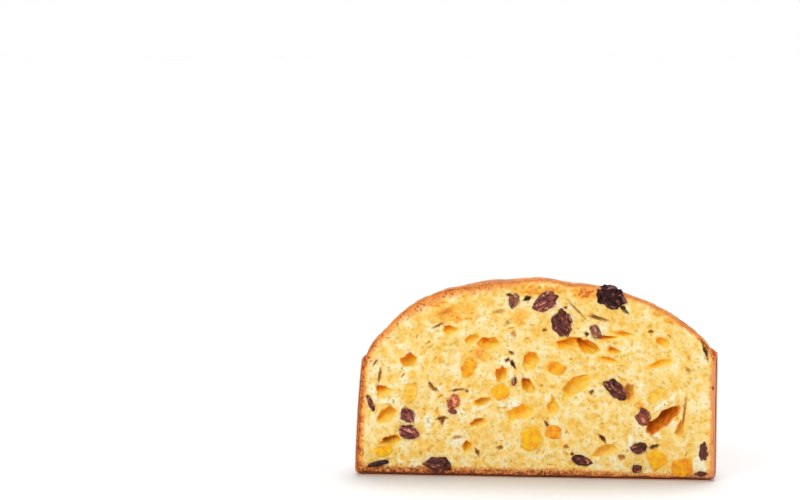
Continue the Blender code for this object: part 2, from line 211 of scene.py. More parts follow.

# Larger air holes: x, z, length, width, tilt in degrees, depth, and how deep the painted shade
# inside is.
AIR_HOLES = (
    (-65.5, 61.0, 7.4, 7.8, 0, 5.0, 0.85),
    (-44.1, 78.0, 6.8, 4.0, -10, 3.0, 0.75),
    (-32.7, 73.0, 7.8, 4.2, 38, 3.2, 0.55),
    (-23.7, 70.8, 9.4, 6.6, 8, 4.2, 0.75),
    (-17.5, 54.0, 8.8, 5.6, 80, 4.4, 0.8),
    (-2.1, 61.9, 9.8, 8.0, 62, 3.8, 0.65),
    (19.5, 71.6, 13.0, 5.0, 4, 5.0, 0.7),
    (29.2, 69.4, 13.0, 5.4, -28, 6.0, 0.85),
    (38.6, 74.9, 8.8, 1.6, 0, 2.6, 1.1),
    (42.1, 67.8, 7.2, 2.6, -20, 3.0, 0.7),
    (20.7, 48.4, 16.5, 8.4, 42, 4.4, 0.45),
    (9.8, 36.8, 9.0, 6.0, 85, 3.0, 0.4),
    (-6.9, 34.3, 13.8, 7.0, 18, 3.4, 0.58),
    (-80.2, 45.0, 7.6, 5.8, 10, 4.2, 0.7),
    (-77.6, 32.4, 11.0, 7.0, 40, 4.6, 0.6),
    (-75.8, 18.4, 10.2, 5.0, 8, 7.0, 1.0),
    (-29.4, 28.8, 7.4, 4.2, 12, 5.0, 0.85),
    (-27.3, 40.4, 8.0, 3.8, 18, 3.6, 0.8),
    (-35.3, 15.2, 6.2, 4.4, 70, 3.8, 0.75),
    (75.9, 26.8, 7.4, 4.0, 75, 3.4, 0.5),
    (68.6, 33.4, 14.0, 6.4, 42, 12.0, 0.95),
    (62.8, 28.6, 8.0, 5.6, 52, 10.0, 0.95),
    (40.0, 62.7, 9.2, 2.4, -14, 2.6, 0.5),
    (47.6, 76.6, 8.4, 2.4, -10, 2.4, 0.6),
    (-45.5, 86.8, 11.0, 4.6, 26, 2.2, 0.7),
    (36.4, 14.8, 13.5, 4.2, 26, 3.0, 0.5),
    (67.1, 72.3, 7.2, 4.0, -30, 2.2, 0.55),
    (65.7, 61.4, 11.0, 2.8, 14, 2.2, 0.6),
    (49.0, 46.2, 8.4, 4.8, 80, 4.0, 0.85),
    (-3.2, 48.6, 9.2, 5.2, -52, 4.4, 0.9),
)

# Small pits and slits: x, z, length, width, tilt in degrees, depth, and how dark the painted shade
# inside is.
SMALL_PITS = (
    (-49.2, 30.9, 4.2, 1.0, 8, 2.0, 1.25),
    (-48.5, 29.6, 3.2, 1.3, 80, 2.0, 1.2),
    (-54.4, 48.6, 3.6, 1.3, -55, 1.8, 1.15),
    (-52.8, 46.6, 3.2, 1.2, -30, 1.6, 1.1),
    (-41.0, 46.0, 3.8, 0.6, 10, 2.0, 1.25),
    (-35.6, 45.6, 1.2, 0.6, -30, 1.6, 1.2),
    (-11.4, 60.4, 3.0, 1.7, -60, 2.8, 1.35),
    (-12.4, 66.4, 2.2, 1.2, -40, 1.6, 1.2),
    (-14.2, 62.6, 1.8, 1.1, 30, 2.0, 1.3),
    (-18.6, 88.1, 3.4, 1.1, 8, 1.0, 1.0),
    (-11.1, 76.4, 1.8, 1.6, 0, 1.2, 0.95),
    (-14.1, 82.4, 1.8, 1.2, 0, 0.8, 0.95),
    (-81.9, 53.3, 4.6, 0.7, 80, 2.0, 1.2),
    (-84.0, 60.2, 2.4, 0.6, 60, 2.0, 1.15),
    (-50.1, 80.7, 4.2, 0.6, 25, 1.4, 1.15),
    (22.0, 89.2, 6.8, 0.5, -45, 1.0, 1.1),
    (5.4, 78.6, 1.6, 1.1, 0, 1.6, 1.2),
    (60.3, 78.5, 1.8, 0.8, -12, 1.6, 1.2),
    (27.2, 76.6, 1.9, 1.5, 0, 2.4, 1.3),
    (79.9, 58.6, 2.8, 1.4, -45, 1.8, 1.15),
    (36.1, 21.3, 3.8, 1.3, -58, 2.6, 1.25),
    (19.9, 13.0, 1.3, 1.2, 0, 2.0, 1.2),
    (63.0, 17.7, 4.8, 1.5, 12, 3.0, 1.35),
    (6.7, 28.4, 3.4, 1.1, -60, 2.8, 1.35),
    (16.7, 17.0, 2.2, 1.7, 0, 1.0, 1.1),
    (45.9, 11.8, 3.0, 1.9, -20, 1.8, 1.1),
    (78.3, 35.5, 11.0, 0.4, 84, 1.0, 1.1),
    (-17.8, 16.0, 2.2, 1.4, 0, 1.8, 1.15),
    (-30.0, 13.2, 3.0, 0.9, -60, 1.8, 1.2),
    (-40.9, 21.0, 3.2, 0.7, 5, 0.8, 0.95),
    (88.8, 69.6, 8.6, 1.7, -70, 3.0, 1.35),
    (29.9, 46.0, 1.8, 1.2, 40, 1.6, 1.2),
    (-3.8, 95.2, 4.0, 1.8, 20, 3.0, 1.4),
    (33.7, 85.2, 9.6, 1.3, -14, 1.6, 1.2),
    (-12.9, 96.6, 3.4, 1.2, -20, 1.8, 1.3),
    (16.0, 90.4, 1.4, 1.0, 0, 1.6, 1.2),
    (46.2, 90.2, 4.6, 1.3, -48, 1.2, 1.5),
)

# Where syrup and butter have soaked the crumb: x, z, half width, half height, strength.
STAINS = (
    (-52.0, 92.3, 5.5, 3.0, 1.0),
    (-46.2, 86.0, 8.5, 4.4, 0.8),
    (-41.0, 84.1, 3.5, 3.0, 0.9),
    (-36.0, 89.0, 8.0, 5.0, 0.55),
    (-24.0, 92.0, 6.0, 3.5, 0.4),
    (-8.0, 101.0, 8.0, 2.6, 0.8),
    (-1.4, 99.6, 10.0, 3.6, 0.9),
    (9.0, 99.6, 9.0, 3.0, 0.8),
    (26.3, 98.4, 8.0, 3.6, 1.2),
    (-7.6, 84.4, 4.6, 5.4, 0.7),
    (-28.9, 65.2, 5.0, 4.4, 0.85),
    (-33.4, 60.6, 4.0, 4.5, 0.8),
    (-66.0, 41.8, 5.0, 6.0, 0.45),
    (-20.4, 45.0, 7.0, 6.0, 0.4),
    (-58.8, 17.2, 7.0, 3.5, 0.4),
    (54.9, 39.4, 3.5, 3.0, 0.7),
    (76.0, 26.0, 2.5, 3.0, 0.8),
    (65.0, 88.4, 4.5, 2.6, 0.9),
    (71.5, 84.2, 4.5, 2.6, 0.9),
    (42.2, 85.2, 7.0, 4.5, 0.5),
    (78.4, 59.6, 3.5, 3.0, 0.5),
    (48.2, 45.6, 4.6, 6.0, 0.9),
    (36.2, 14.6, 9.0, 3.0, 0.4),
    (70.0, 15.0, 7.0, 8.0, 0.35),
)

# Folds of crumb that stand out of the cut, painted paler on top as a painted highlight: x, z, half
# length, half width, tilt, height.
PALE_FOLDS = (
    (-26.3, 38.6, 7.0, 1.5, 28, 1.1),
    (-12.4, 38.6, 8.0, 1.5, -8, 1.0),
    (-78.0, 39.8, 6.0, 1.6, 5, 1.0),
    (-56.2, 28.6, 2.0, 6.0, 0, 0.7),
    (50.2, 19.2, 5.0, 1.7, 80, 0.9),
    (64.1, 23.2, 4.5, 1.2, -20, 0.8),
    (67.1, 40.2, 7.0, 1.6, 35, 1.0),
    (86.5, 8.4, 4.5, 3.4, 80, 1.5),
    (-40.3, 19.6, 4.0, 3.0, 30, 0.8),
    (11.4, 14.6, 7.0, 2.2, 10, 0.6),
)

# Pores: how many of a kind, and the ranges of their half length, half width, half depth and
# place behind the cut.
PORES = (
    (110, (1.4, 2.6), (0.6, 1.2), (0.7, 1.2), (-0.4, 0.2)),
    (380, (0.6, 1.3), (0.4, 0.7), (0.5, 0.9), (-0.3, 0.2)),
    (1100, (0.4, 0.8), (0.35, 0.5), (0.5, 0.9), (-0.3, 0.1)),
    (40, (0.9, 1.8), (0.3, 0.4), (1.0, 2.0), (0.0, 0.4)),
)
PORE_SEED = 11
PORES_ACROSS = (-94, 94)
PORES_UP = (2, 104)
PORE_SWAY = 0.35
PORE_MARGIN = 1.2

# The ellipse that the stretched dough lies along: its middle's height and its half sizes.
FLOW_MIDDLE = 15
FLOW_HALF_WIDTH = 95
FLOW_HALF_HEIGHT = 85

# Grid of the crumb behind the cut.
VOXEL = 0.5
GRID_LOW = np.array((-97.0, -3.5, -1.0))
GRID_HIGH = np.array((97.0, 11.0, 108.5))

# How far the painted shade of a hole's wall fades into the crumb, and how deep it gets.
HOLE_FADE = 1.1
PIT_FADE = 0.7
PIT_LEVEL = 1.3
DEEPEST_HOLE = 0.98
PEEL_STAIN = 0.45
PEEL_STAIN_REACH = 0.75

# Over how many grid steps the crumb is averaged to tell a pit and a hollow, which get painted
# shade.
PIT_BLUR = 2
HOLLOW_BLUR = 6

# The slab of crumb: its back, and how far its outside lies within the loaf's at the cut and
# how much further behind it.
SLAB_BACK = 9.5
SLAB_INSET = 0.55
SLAB_DRAWN_IN = 0.9
SLAB_DRAWN_IN_BY = 4.0
CRUMB_TRIANGLES = 190000

# How many mm the browning reaches into the crumb, and how much more at each of four places.
BROWNED = 1.7
BROWNED_LEFT = 1.4
BROWNED_RIGHT = 0.8
BROWNED_BASE = 2.4
BROWNED_DOME = 2.0


def noise_of(points):
    """Smooth noise from -1 to 1 at each of an array of points."""
    flat = np.asarray(points, dtype=float).reshape(-1, 3)
    values = np.fromiter((noise.noise(p) for p in flat.tolist()), float, len(flat))
    return values.reshape(np.shape(points)[:-1])


def ridged(points, sharpness=2.6):
    """Noise with sharp ridges, from 0 in the hollows to 1 on the ridges."""
    return 1 - np.minimum(1, np.abs(noise_of(points)) * sharpness)


def passing(value, start, end):
    """How far a value has gone from the start to the end, as a share from 0 to 1."""
    return np.clip((value - start) / (end - start), 0, 1)


def noise_ways(points, shifts):
    """A smooth, random way at each point: noise at one shift for each axis."""
    return np.stack([noise_of(points + shift) for shift in shifts], axis=1)


def turned(x, z, turn):
    """How far places lie along and across a direction at this angle, in radians."""
    return x * math.cos(turn) + z * math.sin(turn), z * math.cos(turn) - x * math.sin(turn)


def smooth_larger(one, two, softness):
    """The larger of two fields, with the edge between them rounded."""
    near = np.maximum(softness - np.abs(one - two), 0) / softness
    return np.maximum(one, two) + near * near * softness / 4


# Shape of the whole loaf.


def dome_height(radius):
    share = np.minimum(1.0, radius / DOME_BASE_RADIUS)
    return CASE_HEIGHT + (LOAF_HEIGHT - CASE_HEIGHT) * (1 - share**2) ** DOME_POWER


def dome_swell(x, y):
    total = 0.0
    for at_x, at_y, height, width, depth in DOME_SWELLS:
        away = ((x - at_x) / width) ** 2 + ((y - at_y) / depth) ** 2
        total = total + height * np.exp(-away)
    return total


def leaning(x, y, z):
    """How far a place of the even loaf is drawn in, as a factor, and lifted."""
    up = passing(z, 0, CASE_HEIGHT)
    side = x / CASE_RADIUS
    swelling = np.clip((z - CASE_HEIGHT) / SWELL_FROM, 0, 1)
    inwards = 1 - LEFT_LEAN * (1 - side) / 2 * up**LEAN_CURVE
    lift = SHOULDER_TILT * side * up + dome_swell(x, y) * swelling
    return inwards, lift


def uneven(points):
    """Places of the even loaf moved to the real, leaning one."""
    x, y, z = points.T
    inwards, lift = leaning(x, y, z)
    return np.stack((x * inwards, y * inwards, z + lift), axis=1)


def loaf_distance(x, y, z):
    """How far a place lies outside the loaf, or below zero how far inside."""
    inwards, lift = leaning(x, y, z)
    radius = np.hypot(x, y) / inwards
    height = z - lift
    share = np.minimum(0.995, radius / DOME_BASE_RADIUS)
    rise = (LOAF_HEIGHT - CASE_HEIGHT) * 2 * DOME_POWER * share / DOME_BASE_RADIUS
    slope = rise * (1 - share**2) ** (DOME_POWER - 1)
    dome = (height - dome_height(radius)) / np.sqrt(1 + slope**2)
    across, down = SHOULDER, BREAD_RADIUS - DOME_BASE_RADIUS
    shoulder = (radius - DOME_BASE_RADIUS) * across + (height - CASE_HEIGHT) * down
    shoulder = np.where(height < CASE_HEIGHT, shoulder / math.hypot(across, down), dome)
    wall = radius - BREAD_RADIUS
    base = BREAD_INSET - height
    out, under = wall + BREAD_CORNER, base + BREAD_CORNER
    corner = np.hypot(np.maximum(out, 0), np.maximum(under, 0)) - BREAD_CORNER
    corner = corner + np.minimum(np.maximum(out, under), 0)
    return np.maximum.reduce((dome, shoulder, corner))


def torn_relief(x, z):
    """How far the cut face lies behind the plane of the cut, without its finest grain."""
    at = np.stack(np.broadcast_arrays(x, z, np.zeros_like(x * z)), axis=-1)
    return noise_of(at / TEAR_SCALE) * TEAR_DEPTH + noise_of(at / CRUMB_SCALE) * CRUMB_DEPTH


# Making objects.


def mesh_object(name, points, faces):
    """A mesh object from places in mm in the loaf's frame and faces with the same corner count."""
    mesh = bpy.data.meshes.new(name)
    placed = (np.asarray(points) + (0, AXIS_Y, 0)) * MM
    faces = np.asarray(faces)
    corners = faces.shape[1]
    mesh.vertices.add(len(placed))
    mesh.vertices.foreach_set("co", placed.astype(np.float32).ravel())
    mesh.loops.add(faces.size)
    mesh.loops.foreach_set("vertex_index", faces.astype(np.int32).ravel())
    mesh.polygons.add(len(faces))
    mesh.polygons.foreach_set("loop_start", np.arange(0, faces.size, corners, dtype=np.int32))
    mesh.update(calc_edges=True)
    mesh.validate()
    obj = bpy.data.objects.new(name, mesh)
    bpy.context.scene.collection.objects.link(obj)
    mesh.shade_smooth()
    return obj


def applied(obj):
    """The object with its modifiers made into its mesh."""
    bpy.context.view_layer.update()
    graph = bpy.context.evaluated_depsgraph_get()
    mesh = bpy.data.meshes.new_from_object(obj.evaluated_get(graph))
    obj.modifiers.clear()
    obj.data = mesh
    return obj


def places_of(obj):
    """An object's vertices in mm in the loaf's frame."""
    flat = np.zeros(len(obj.data.vertices) * 3, np.float32)
    obj.data.vertices.foreach_get("co", flat)
    return flat.reshape(-1, 3) / MM - (0, AXIS_Y, 0)


def set_attributes(obj, **fields):
    """Gives the vertices one value of each field, which the materials read by its name."""
    for name, values in fields.items():
        made = obj.data.attributes.new(name, "FLOAT", "POINT")
        made.data.foreach_set("value", np.asarray(values, dtype=np.float32))


def swept(pairs, turns):
    """Pairs across and up, turned about the axis: for each pair, a place at each turn."""
    across, up = pairs[:, :1], pairs[:, 1:]
    ways = np.broadcast_arrays(across * np.cos(turns), across * np.sin(turns), up)
    return np.stack(ways, axis=-1).reshape(-1, 3)


def grid_quads(rows, columns):
    """Numbers of the points in rows and columns, and the quads between them."""
    grid = np.arange(rows * columns).reshape(rows, columns)
    quads = np.stack((grid[:-1, :-1], grid[1:, :-1], grid[1:, 1:], grid[:-1, 1:]), -1)
    return grid, quads.reshape(-1, 4)


def dress(obj, look, slot, *nodes):
    """Gives a piece its material, hangs it under the root, and hides the solids that it stands in
    for.
    """
    obj.data.materials.clear()
    obj.data.materials.append(look)
    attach(obj, "root")
    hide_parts(*nodes)
    return obj


# The crumb.


class CrumbGrid:
    """Fields on the grid behind the cut: how far each place is outside the crumb, and the painted
    shade of the holes.
    """

    def __init__(self):
        counts = np.round((GRID_HIGH - GRID_LOW) / VOXEL).astype(int) + 1
        self.shape = tuple(counts)
        axes = [GRID_LOW[k] + VOXEL * np.arange(counts[k]) for k in range(3)]
        x, y, z = axes[0][:, None, None], axes[1][None, :, None], axes[2][None, None, :]
        self.rind = -loaf_distance(x, y, z)
        front = torn_relief(axes[0][:, None], axes[2][None, :])
        self.front = front
        inset = SLAB_INSET + SLAB_DRAWN_IN * passing(y, 0, SLAB_DRAWN_IN_BY)
        self.solid = np.maximum(inset - self.rind, y - SLAB_BACK)
        self.solid = np.maximum(self.solid, self.grained(axes, front) - y)
        self.inside = np.zeros(self.shape, np.float32)
        self.tone = np.zeros(self.shape, np.float32)

    def grained(self, axes, front):
        """The cut face with its ridges and grain, which stand proudest low on the left."""
        x, z = np.meshgrid(axes[0], axes[2], indexing="ij")
        at = np.stack((x, z, np.full_like(x, 3.7)), axis=-1)
        rough = ROUGH + ROUGH_VARIES * noise_of(at / ROUGH_SIZE)
        rough = rough + ROUGH_LOW_DOWN * np.clip((ROUGH_HEIGHT - z) / ROUGH_HEIGHT, -0.5, 1)
        rough = np.clip(rough - x / SMOOTHER_BY, *ROUGH_RANGE)
        lumps = noise_of(at / LUMP_SCALE) * LUMP_DEPTH * rough**2
        ridges = noise_of(at / RIDGE_SCALE) * RIDGE_DEPTH * rough
        grain = noise_of(at / GRAIN_SCALE) * GRAIN_DEPTH
        return (front + lumps + ridges + grain - pale_folds(x, z))[:, None, :]

    def near(self, centre, reach):
        """The part of the grid within reach of a place, and each point's way from it."""
        centre = np.asarray(centre)
        low = np.maximum(np.floor((centre - reach - GRID_LOW) / VOXEL).astype(int), 0)
        high = np.minimum(np.ceil((centre + reach - GRID_LOW) / VOXEL).astype(int) + 1, self.shape)
        part = tuple(slice(a, b) for a, b in zip(low, high))
        away = [GRID_LOW[k] + VOXEL * np.arange(low[k], high[k]) - centre[k] for k in range(3)]
        return part, away[0][:, None, None], away[1][None, :, None], away[2][None, None, :]

    def carve_ball(self, centre, size, turn, softness=0.3):
        """Takes away an ellipsoid: its half length, half width and half depth, and its turn."""
        length, width, depth = size
        part, x, y, z = self.near(centre, max(size) + softness + VOXEL)
        if 0 in self.solid[part].shape:
            return
        along, across = turned(x, z, turn)
        far = np.sqrt((along / length) ** 2 + (across / width) ** 2 + (y / depth) ** 2)
        steep = (along / length**2) ** 2 + (across / width**2) ** 2 + (y / depth**2) ** 2
        outside = far * (far - 1) / (np.sqrt(steep) + 1e-6)
        self.solid[part] = smooth_larger(self.solid[part], -outside, softness)

    def carve(self, place, size, swell, grow=0.0, lean=(0, 0)):
        """Takes away a swelling ball like those in the solids, leaning as it goes deeper.

        Returns the part of the grid round it, how far outside it each place there lies, and
        the way there from its middle.
        """
        centre_x, centre_z, tilt = place
        half_length, half_width, front, back = size
        reach = max(half_length, half_width) * DENT_REACH + 1.5 + max(np.abs(lean)) * back
        part, x, y, z = self.near((centre_x, 0, centre_z), np.array((reach, back + 3, reach)))
        behind = np.maximum(y, 0)
        x, z = x - lean[0] * behind, z - lean[1] * behind
        along, across = turned(x, z, math.radians(tilt))
        depth = y / np.where(y < 0, front, back)
        shape = np.broadcast_shapes(along.shape, depth.shape)
        whole = np.stack(
            [np.broadcast_to(v, shape) for v in (along / half_length, depth, across / half_width)],
            axis=-1,
        )
        far = np.linalg.norm(whole, axis=-1) + 1e-6
        outside = (far / swell(whole / far[..., None]) - 1) * min(half_length, half_width) - grow
        self.solid[part] = smooth_larger(self.solid[part], -outside, POCKET_SOFTNESS)
        return part, outside, (x, y, z)

    def colour_hole(self, carved, size, tone, even=False):
        """Paints shade onto an air hole's wall, deeper towards its back and its upper left."""
        part, outside, (x, y, z) = carved
        upper_left = x * HOLE_SHADE_WAY[0] + z * HOLE_SHADE_WAY[1]
        upper_left = np.clip(upper_left / (0.5 * (size[0] + size[1])), -1, 1)
        level = HOLE_LEVEL + HOLE_UPPER_LEFT * upper_left
        level = level + HOLE_BACK * passing(y, 0, min(size[3], HOLE_BACK_FROM))
        if even:
            level = np.full_like(level, DARK_LEVEL)
        self.tint(part, 1 - outside / HOLE_FADE, np.minimum(level * tone, DEEPEST_HOLE))

    def colour_pit(self, carved, level):
        """Paints shade into a small pit at one level, from the darker end of the painted hole
        shade.
        """
        part, outside, _ = carved
        self.tint(part, 1 - outside / PIT_FADE, level)

    def tint(self, part, share, level):
        share = np.clip(share, 0, 1)
        nearer = share > self.inside[part]
        self.tone[part] = np.where(nearer, level, self.tone[part])
        self.inside[part] = np.maximum(self.inside[part], share)


def flat_sides(seed, count, depth):
    """Directions of some flat sides, drawn with a seed: depth is how far they face the cut."""
    draw = np.random.default_rng(round(seed * 100))
    sides = draw.normal(size=(count, 3)) * (1, depth, 1)
    return sides / np.linalg.norm(sides, axis=1)[:, None]


def dented(seed, dents, facet_count=0):
    """How far out a dented ball with flat sides lies in each direction, as a function."""
    sides = flat_sides(seed, facet_count, 0.45)

    def swell(directions):
        bumps = 1 + dents * noise_of(directions * DENTS_ROUND + (seed, seed, 0.5))
        if not facet_count:
            return bumps
        facing = np.maximum(directions @ sides.T, 0.05)
        return bumps * np.minimum(MOST_BULGE, FACET_CUT / facing.max(axis=-1))
    return swell


def chunky(seed):
    """The same for an uneven cube with soft edges and some corners cut off."""
    sides = flat_sides(seed, CUBE_CUTS, 0.3)

    def swell(directions):
        box = np.sum(np.abs(directions) ** CUBE_SQUARENESS, axis=-1) ** (-1 / CUBE_SQUARENESS)
        cut = CUBE_CUT / np.maximum(directions @ sides.T, 0.05).max(axis=-1)
        bumps = 1 + CUBE_DENTS * noise_of(directions * DENTS_ROUND + seed)
        return np.minimum(box, cut) * bumps
    return swell


def flow_turn(x, z):
    """Direction in which the dough has risen and stretched: round a low ellipse."""
    return math.atan2(-x / FLOW_HALF_WIDTH**2, (z - FLOW_MIDDLE) / FLOW_HALF_HEIGHT**2)


def carve_pores(grid):
    """Fine and middling pores, stretched along the flow of the dough."""
    draw = np.random.default_rng(PORE_SEED)
    for count, *sizes, behind in PORES:
        x = draw.uniform(*PORES_ACROSS, count)
        z = draw.uniform(*PORES_UP, count)
        size = np.stack([draw.uniform(*span, count) for span in sizes], 1)
        back = draw.uniform(*behind, count)
        turn = draw.normal(0, PORE_SWAY, count)
        for i in range(count):
            column = round((x[i] - GRID_LOW[0]) / VOXEL), round((z[i] - GRID_LOW[2]) / VOXEL)
            front = grid.front[column]
            if loaf_distance(x[i], 0.0, z[i]) > -PORE_MARGIN:
                continue
            way = flow_turn(x[i], z[i]) + turn[i]
            grid.carve_ball((x[i], front + back[i], z[i]), size[i], way)


def carve_pockets(grid):
    """Air holes, and room for the raisins and the candied peel."""
    for i, (x, z, length, width, tilt, depth, tone) in enumerate(AIR_HOLES, 1):
        size = (length / 2, width / 2, POCKET_FRONT, depth)
        swell = dented(i + HOLE_SEED, HOLE_DENTS, HOLE_FACETS)
        carved = grid.carve((x, z, tilt), size, swell, lean=HOLE_LEAN)
        grid.colour_hole(carved, size, tone, i in DARK_HOLES)
    for i, (x, z, length, width, tilt, depth, tone) in enumerate(SMALL_PITS, 1):
        size = (length / 2 + PIT_MARGIN, width / 2 + PIT_MARGIN, POCKET_FRONT, depth)
        carved = grid.carve((x, z, tilt), size, dented(i + PIT_SEED, PIT_DENTS))
        grid.colour_pit(carved, PIT_LEVEL * tone)
    for i, (x, z, length, width, tilt, _, _) in enumerate(FACE_RAISINS, 1):
        size = (length / 2, width / 2, POCKET_FRONT, width * RAISIN_DEPTH)
        swell = dented(i + FACE_SEED, RAISIN_DENTS, RAISIN_FACETS)
        grid.carve((x, z, tilt), size, swell, RAISIN_GAP)
    for i, (x, z, length, width, tilt, _) in enumerate(CANDIED_CUBES, 1):
        size = (length / 2, width / 2, POCKET_FRONT, CUBE_DEPTH)
        grid.carve((x, z, tilt), size, chunky(i + CUBE_SEED), CANDIED_GAP)


def surface_net(field):
    """Places, in grid steps, and quads of the surface where a field changes sign."""
    inside = field < 0
    cells, places, rings = [], [], []
    for axis in range(3):
        near = tuple(slice(None, -1) if k == axis else slice(None) for k in range(3))
        far = tuple(slice(1, None) if k == axis else slice(None) for k in range(3))
        at = np.argwhere(inside[near] != inside[far])
        low = field[near][tuple(at.T)]
        high = field[far][tuple(at.T)]
        place = at.astype(float)
        place[:, axis] += low / (low - high)
        one, two = (axis + 1) % 3, (axis + 2) % 3
        ring = []
        for back_one, back_two in ((0, 0), (1, 0), (1, 1), (0, 1)):
            cell = at.copy()
            cell[:, one] -= back_one
            cell[:, two] -= back_two
            ring.append(np.ravel_multi_index(tuple(cell.T), field.shape))
            cells.append(ring[-1])
            places.append(place)
        ring = np.stack(ring, axis=1)
        ring[low >= 0] = ring[low >= 0][:, ::-1]
        rings.append(ring)
    cells, places, rings = (np.concatenate(part) for part in (cells, places, rings))
    used, number = np.unique(cells, return_inverse=True)
    count = np.bincount(number)
    points = np.stack([np.bincount(number, places[:, k]) / count for k in range(3)], axis=1)
    return points, np.searchsorted(used, rings)


def largest_piece(points, quads):
    """Drops what isn't joined to the main piece."""
    label = np.arange(len(points))
    while True:
        lowest = label[quads].min(axis=1)
        lower = label.copy()
        for corner in range(4):
            np.minimum.at(lower, quads[:, corner], lowest)
        lower = lower[lower]
        if np.array_equal(lower, label):
            break
        label = lower
    main = np.bincount(label).argmax()
    kept = label == main
    renumbered = np.cumsum(kept) - 1
    return points[kept], renumbered[quads[kept[quads[:, 0]]]]


def blurred(values, steps):
    """Values averaged over a box of this many grid steps each way, twice."""
    for axis in (0, 1, 2, 0, 1, 2):
        pad = [(steps + 1, steps) if k == axis else (0, 0) for k in range(3)]
        total = np.cumsum(np.pad(values, pad, mode="edge"), axis=axis)
        length = values.shape[axis]
        high = np.take(total, range(2 * steps + 1, 2 * steps + 1 + length), axis=axis)
        low = np.take(total, range(0, length), axis=axis)
        values = (high - low) / (2 * steps + 1)
    return values


def sampled(values, places):
    """Values of a grid field at places in mm, blended between the grid points."""
    at = (places - GRID_LOW) / VOXEL
    base = np.clip(np.floor(at).astype(int), 0, np.array(values.shape) - 2)
    part = np.clip(at - base, 0, 1)
    total = np.zeros(len(places))
    for corner in np.ndindex(2, 2, 2):
        share = np.prod(np.where(corner, part, 1 - part), axis=1)
        total += share * values[tuple((base + corner).T)]
    return total


def stain_at(places):
    """How deeply syrup has soaked the crumb, also a little round each piece of peel."""
    stains = list(STAINS)
    reach = PEEL_STAIN_REACH
    stains += [(x, z, reach * a, reach * b, PEEL_STAIN) for x, z, a, b, _, _ in CANDIED_CUBES]
    total = np.zeros(len(places))
    for x, z, half_width, half_height, strength in stains:
        away = ((places[:, 0] - x) / half_width) ** 2 + ((places[:, 2] - z) / half_height) ** 2
        total = np.maximum(total, strength * np.exp(-(away**1.5)))
    return total


def pale_folds(x, z):
    """How far the raised folds stand out of the cut, which also sets their painted highlight."""
    total = np.zeros(np.broadcast(x, z).shape)
    for at_x, at_z, half_length, half_width, tilt, height in PALE_FOLDS:
        along, across = turned(x - at_x, z - at_z, math.radians(tilt))
        away = (along / half_length) ** 2 + (across / half_width) ** 2
        total = np.maximum(total, height * np.exp(-away))
    return total


def side_share(x, z, side):
    """1 along the upright wall on one side of the cut, fading to 0 away from it."""
    return passing(x * side, 78, 86) * passing(z, 66, 60)


def less_on_right(x):
    """How strongly the base is browned: least towards its right end."""
    return np.clip(1.2 - x / 62, 0.3, 1)


def browning_reach(x, z):
    """How many mm the browning reaches into the crumb."""
    base = passing(z, 9, 4) * less_on_right(x)
    left_of_dome = passing(x, 0, -30) * passing(z, 60, 68)
    reach = BROWNED + BROWNED_LEFT * side_share(x, z, -1) + BROWNED_RIGHT * side_share(x, z, 1)
    return reach + BROWNED_BASE * base + BROWNED_DOME * left_of_dome


def make_crumb():
    grid = CrumbGrid()
    carve_pores(grid)
    carve_pockets(grid)
    points, quads = surface_net(grid.solid)
    points, quads = largest_piece(points, quads)
    obj = mesh_object("crumb", points * VOXEL + GRID_LOW, quads)
    thin = obj.modifiers.new("thin", "DECIMATE")
    thin.ratio = min(1.0, CRUMB_TRIANGLES / (2 * len(quads)))
    thin.use_collapse_triangulate = True
    applied(obj)
    obj.data.shade_smooth()
    filled = np.clip(0.5 - grid.solid / VOXEL, 0, 1)
    places = places_of(obj)
    x, _, z = places.T
    set_attributes(
        obj,
        # Painted shade for the pits, hollows and holes, and a painted highlight for the raised
        # folds.
        pit=sampled(blurred(filled, PIT_BLUR), places),
        hollow=sampled(blurred(filled, HOLLOW_BLUR), places),
        inside=sampled(grid.inside, places),
        tone=sampled(grid.tone, places),
        baked=sampled(grid.rind, places) / browning_reach(x, z),
        salmon=side_share(x, z, 1),
        domed=0.55 * passing(z, 62, 70),
        porous=passing(x, 0, -40),
        scorched=passing(z, 6.2, 3.2) * less_on_right(x),
        stain=stain_at(places),
        pale=pale_folds(x, z),
    )
    return dress(obj, crumb_look(), "bread", "bread")


# The crust.

CRUST_THICKNESS = 0.75
CRUST_UNEVEN, CRUST_UNEVEN_SIZE = 0.45, 4
CRUST_TURN_STEPS = 380
CRUST_RECESS = 10.2

# Steps of the crust's outline over the dome, the wall, the corner and the base.
CRUST_STEPS = (190, 22, 7, 14)

# Relief of the crust: size and depth of its dimples, folds and grain, and the folds' bends.
DIMPLE_SIZE, DIMPLE_DEPTH = 9.0, 0.6
FOLD_SIZE, FOLD_DEPTH = 4.2, 0.5
FOLD_BEND, FOLD_BEND_SIZE = 3, 7
CRUST_GRAIN_SIZE, CRUST_GRAIN_DEPTH = 1.1, 0.07

# How much of its relief the crust keeps within the case, and how far below the rim that ends.
CRUST_HELD = 0.15
CRUST_FREE_FROM = 6.0

# The crust lies at most this far within the even loaf at the cut, and this much more for
# each mm behind it, so that the crumb doesn't show through.
CRUST_LOWEST = 0.3
CRUST_LOWER_BEHIND = 0.15

# How far the crust sinks under the raisin at the cut and under those behind it.
FACE_DIP = 3.2
DOME_DIP = 1.6


def crust_profile():
    """Outer face of the even loaf: from the top of the dome to the middle of the base."""
    dome, wall, corner, base = CRUST_STEPS
    radius = DOME_BASE_RADIUS * np.sin(np.linspace(0, math.pi / 2, dome))
    points = list(zip(radius, dome_height(radius)))
    top = CASE_HEIGHT - SHOULDER
    points += [(BREAD_RADIUS, z) for z in np.linspace(top, CASE_CORNER, wall)]
    centre = BREAD_RADIUS - BREAD_CORNER
    for turn in np.linspace(0, math.pi / 2, corner)[1:]:
        down = BREAD_CORNER * (1 - math.sin(turn))
        points.append((centre + BREAD_CORNER * math.cos(turn), BREAD_INSET + down))
    points += [(r, BREAD_INSET) for r in np.linspace(centre, 0, base)[1:]]
    return np.array(points)


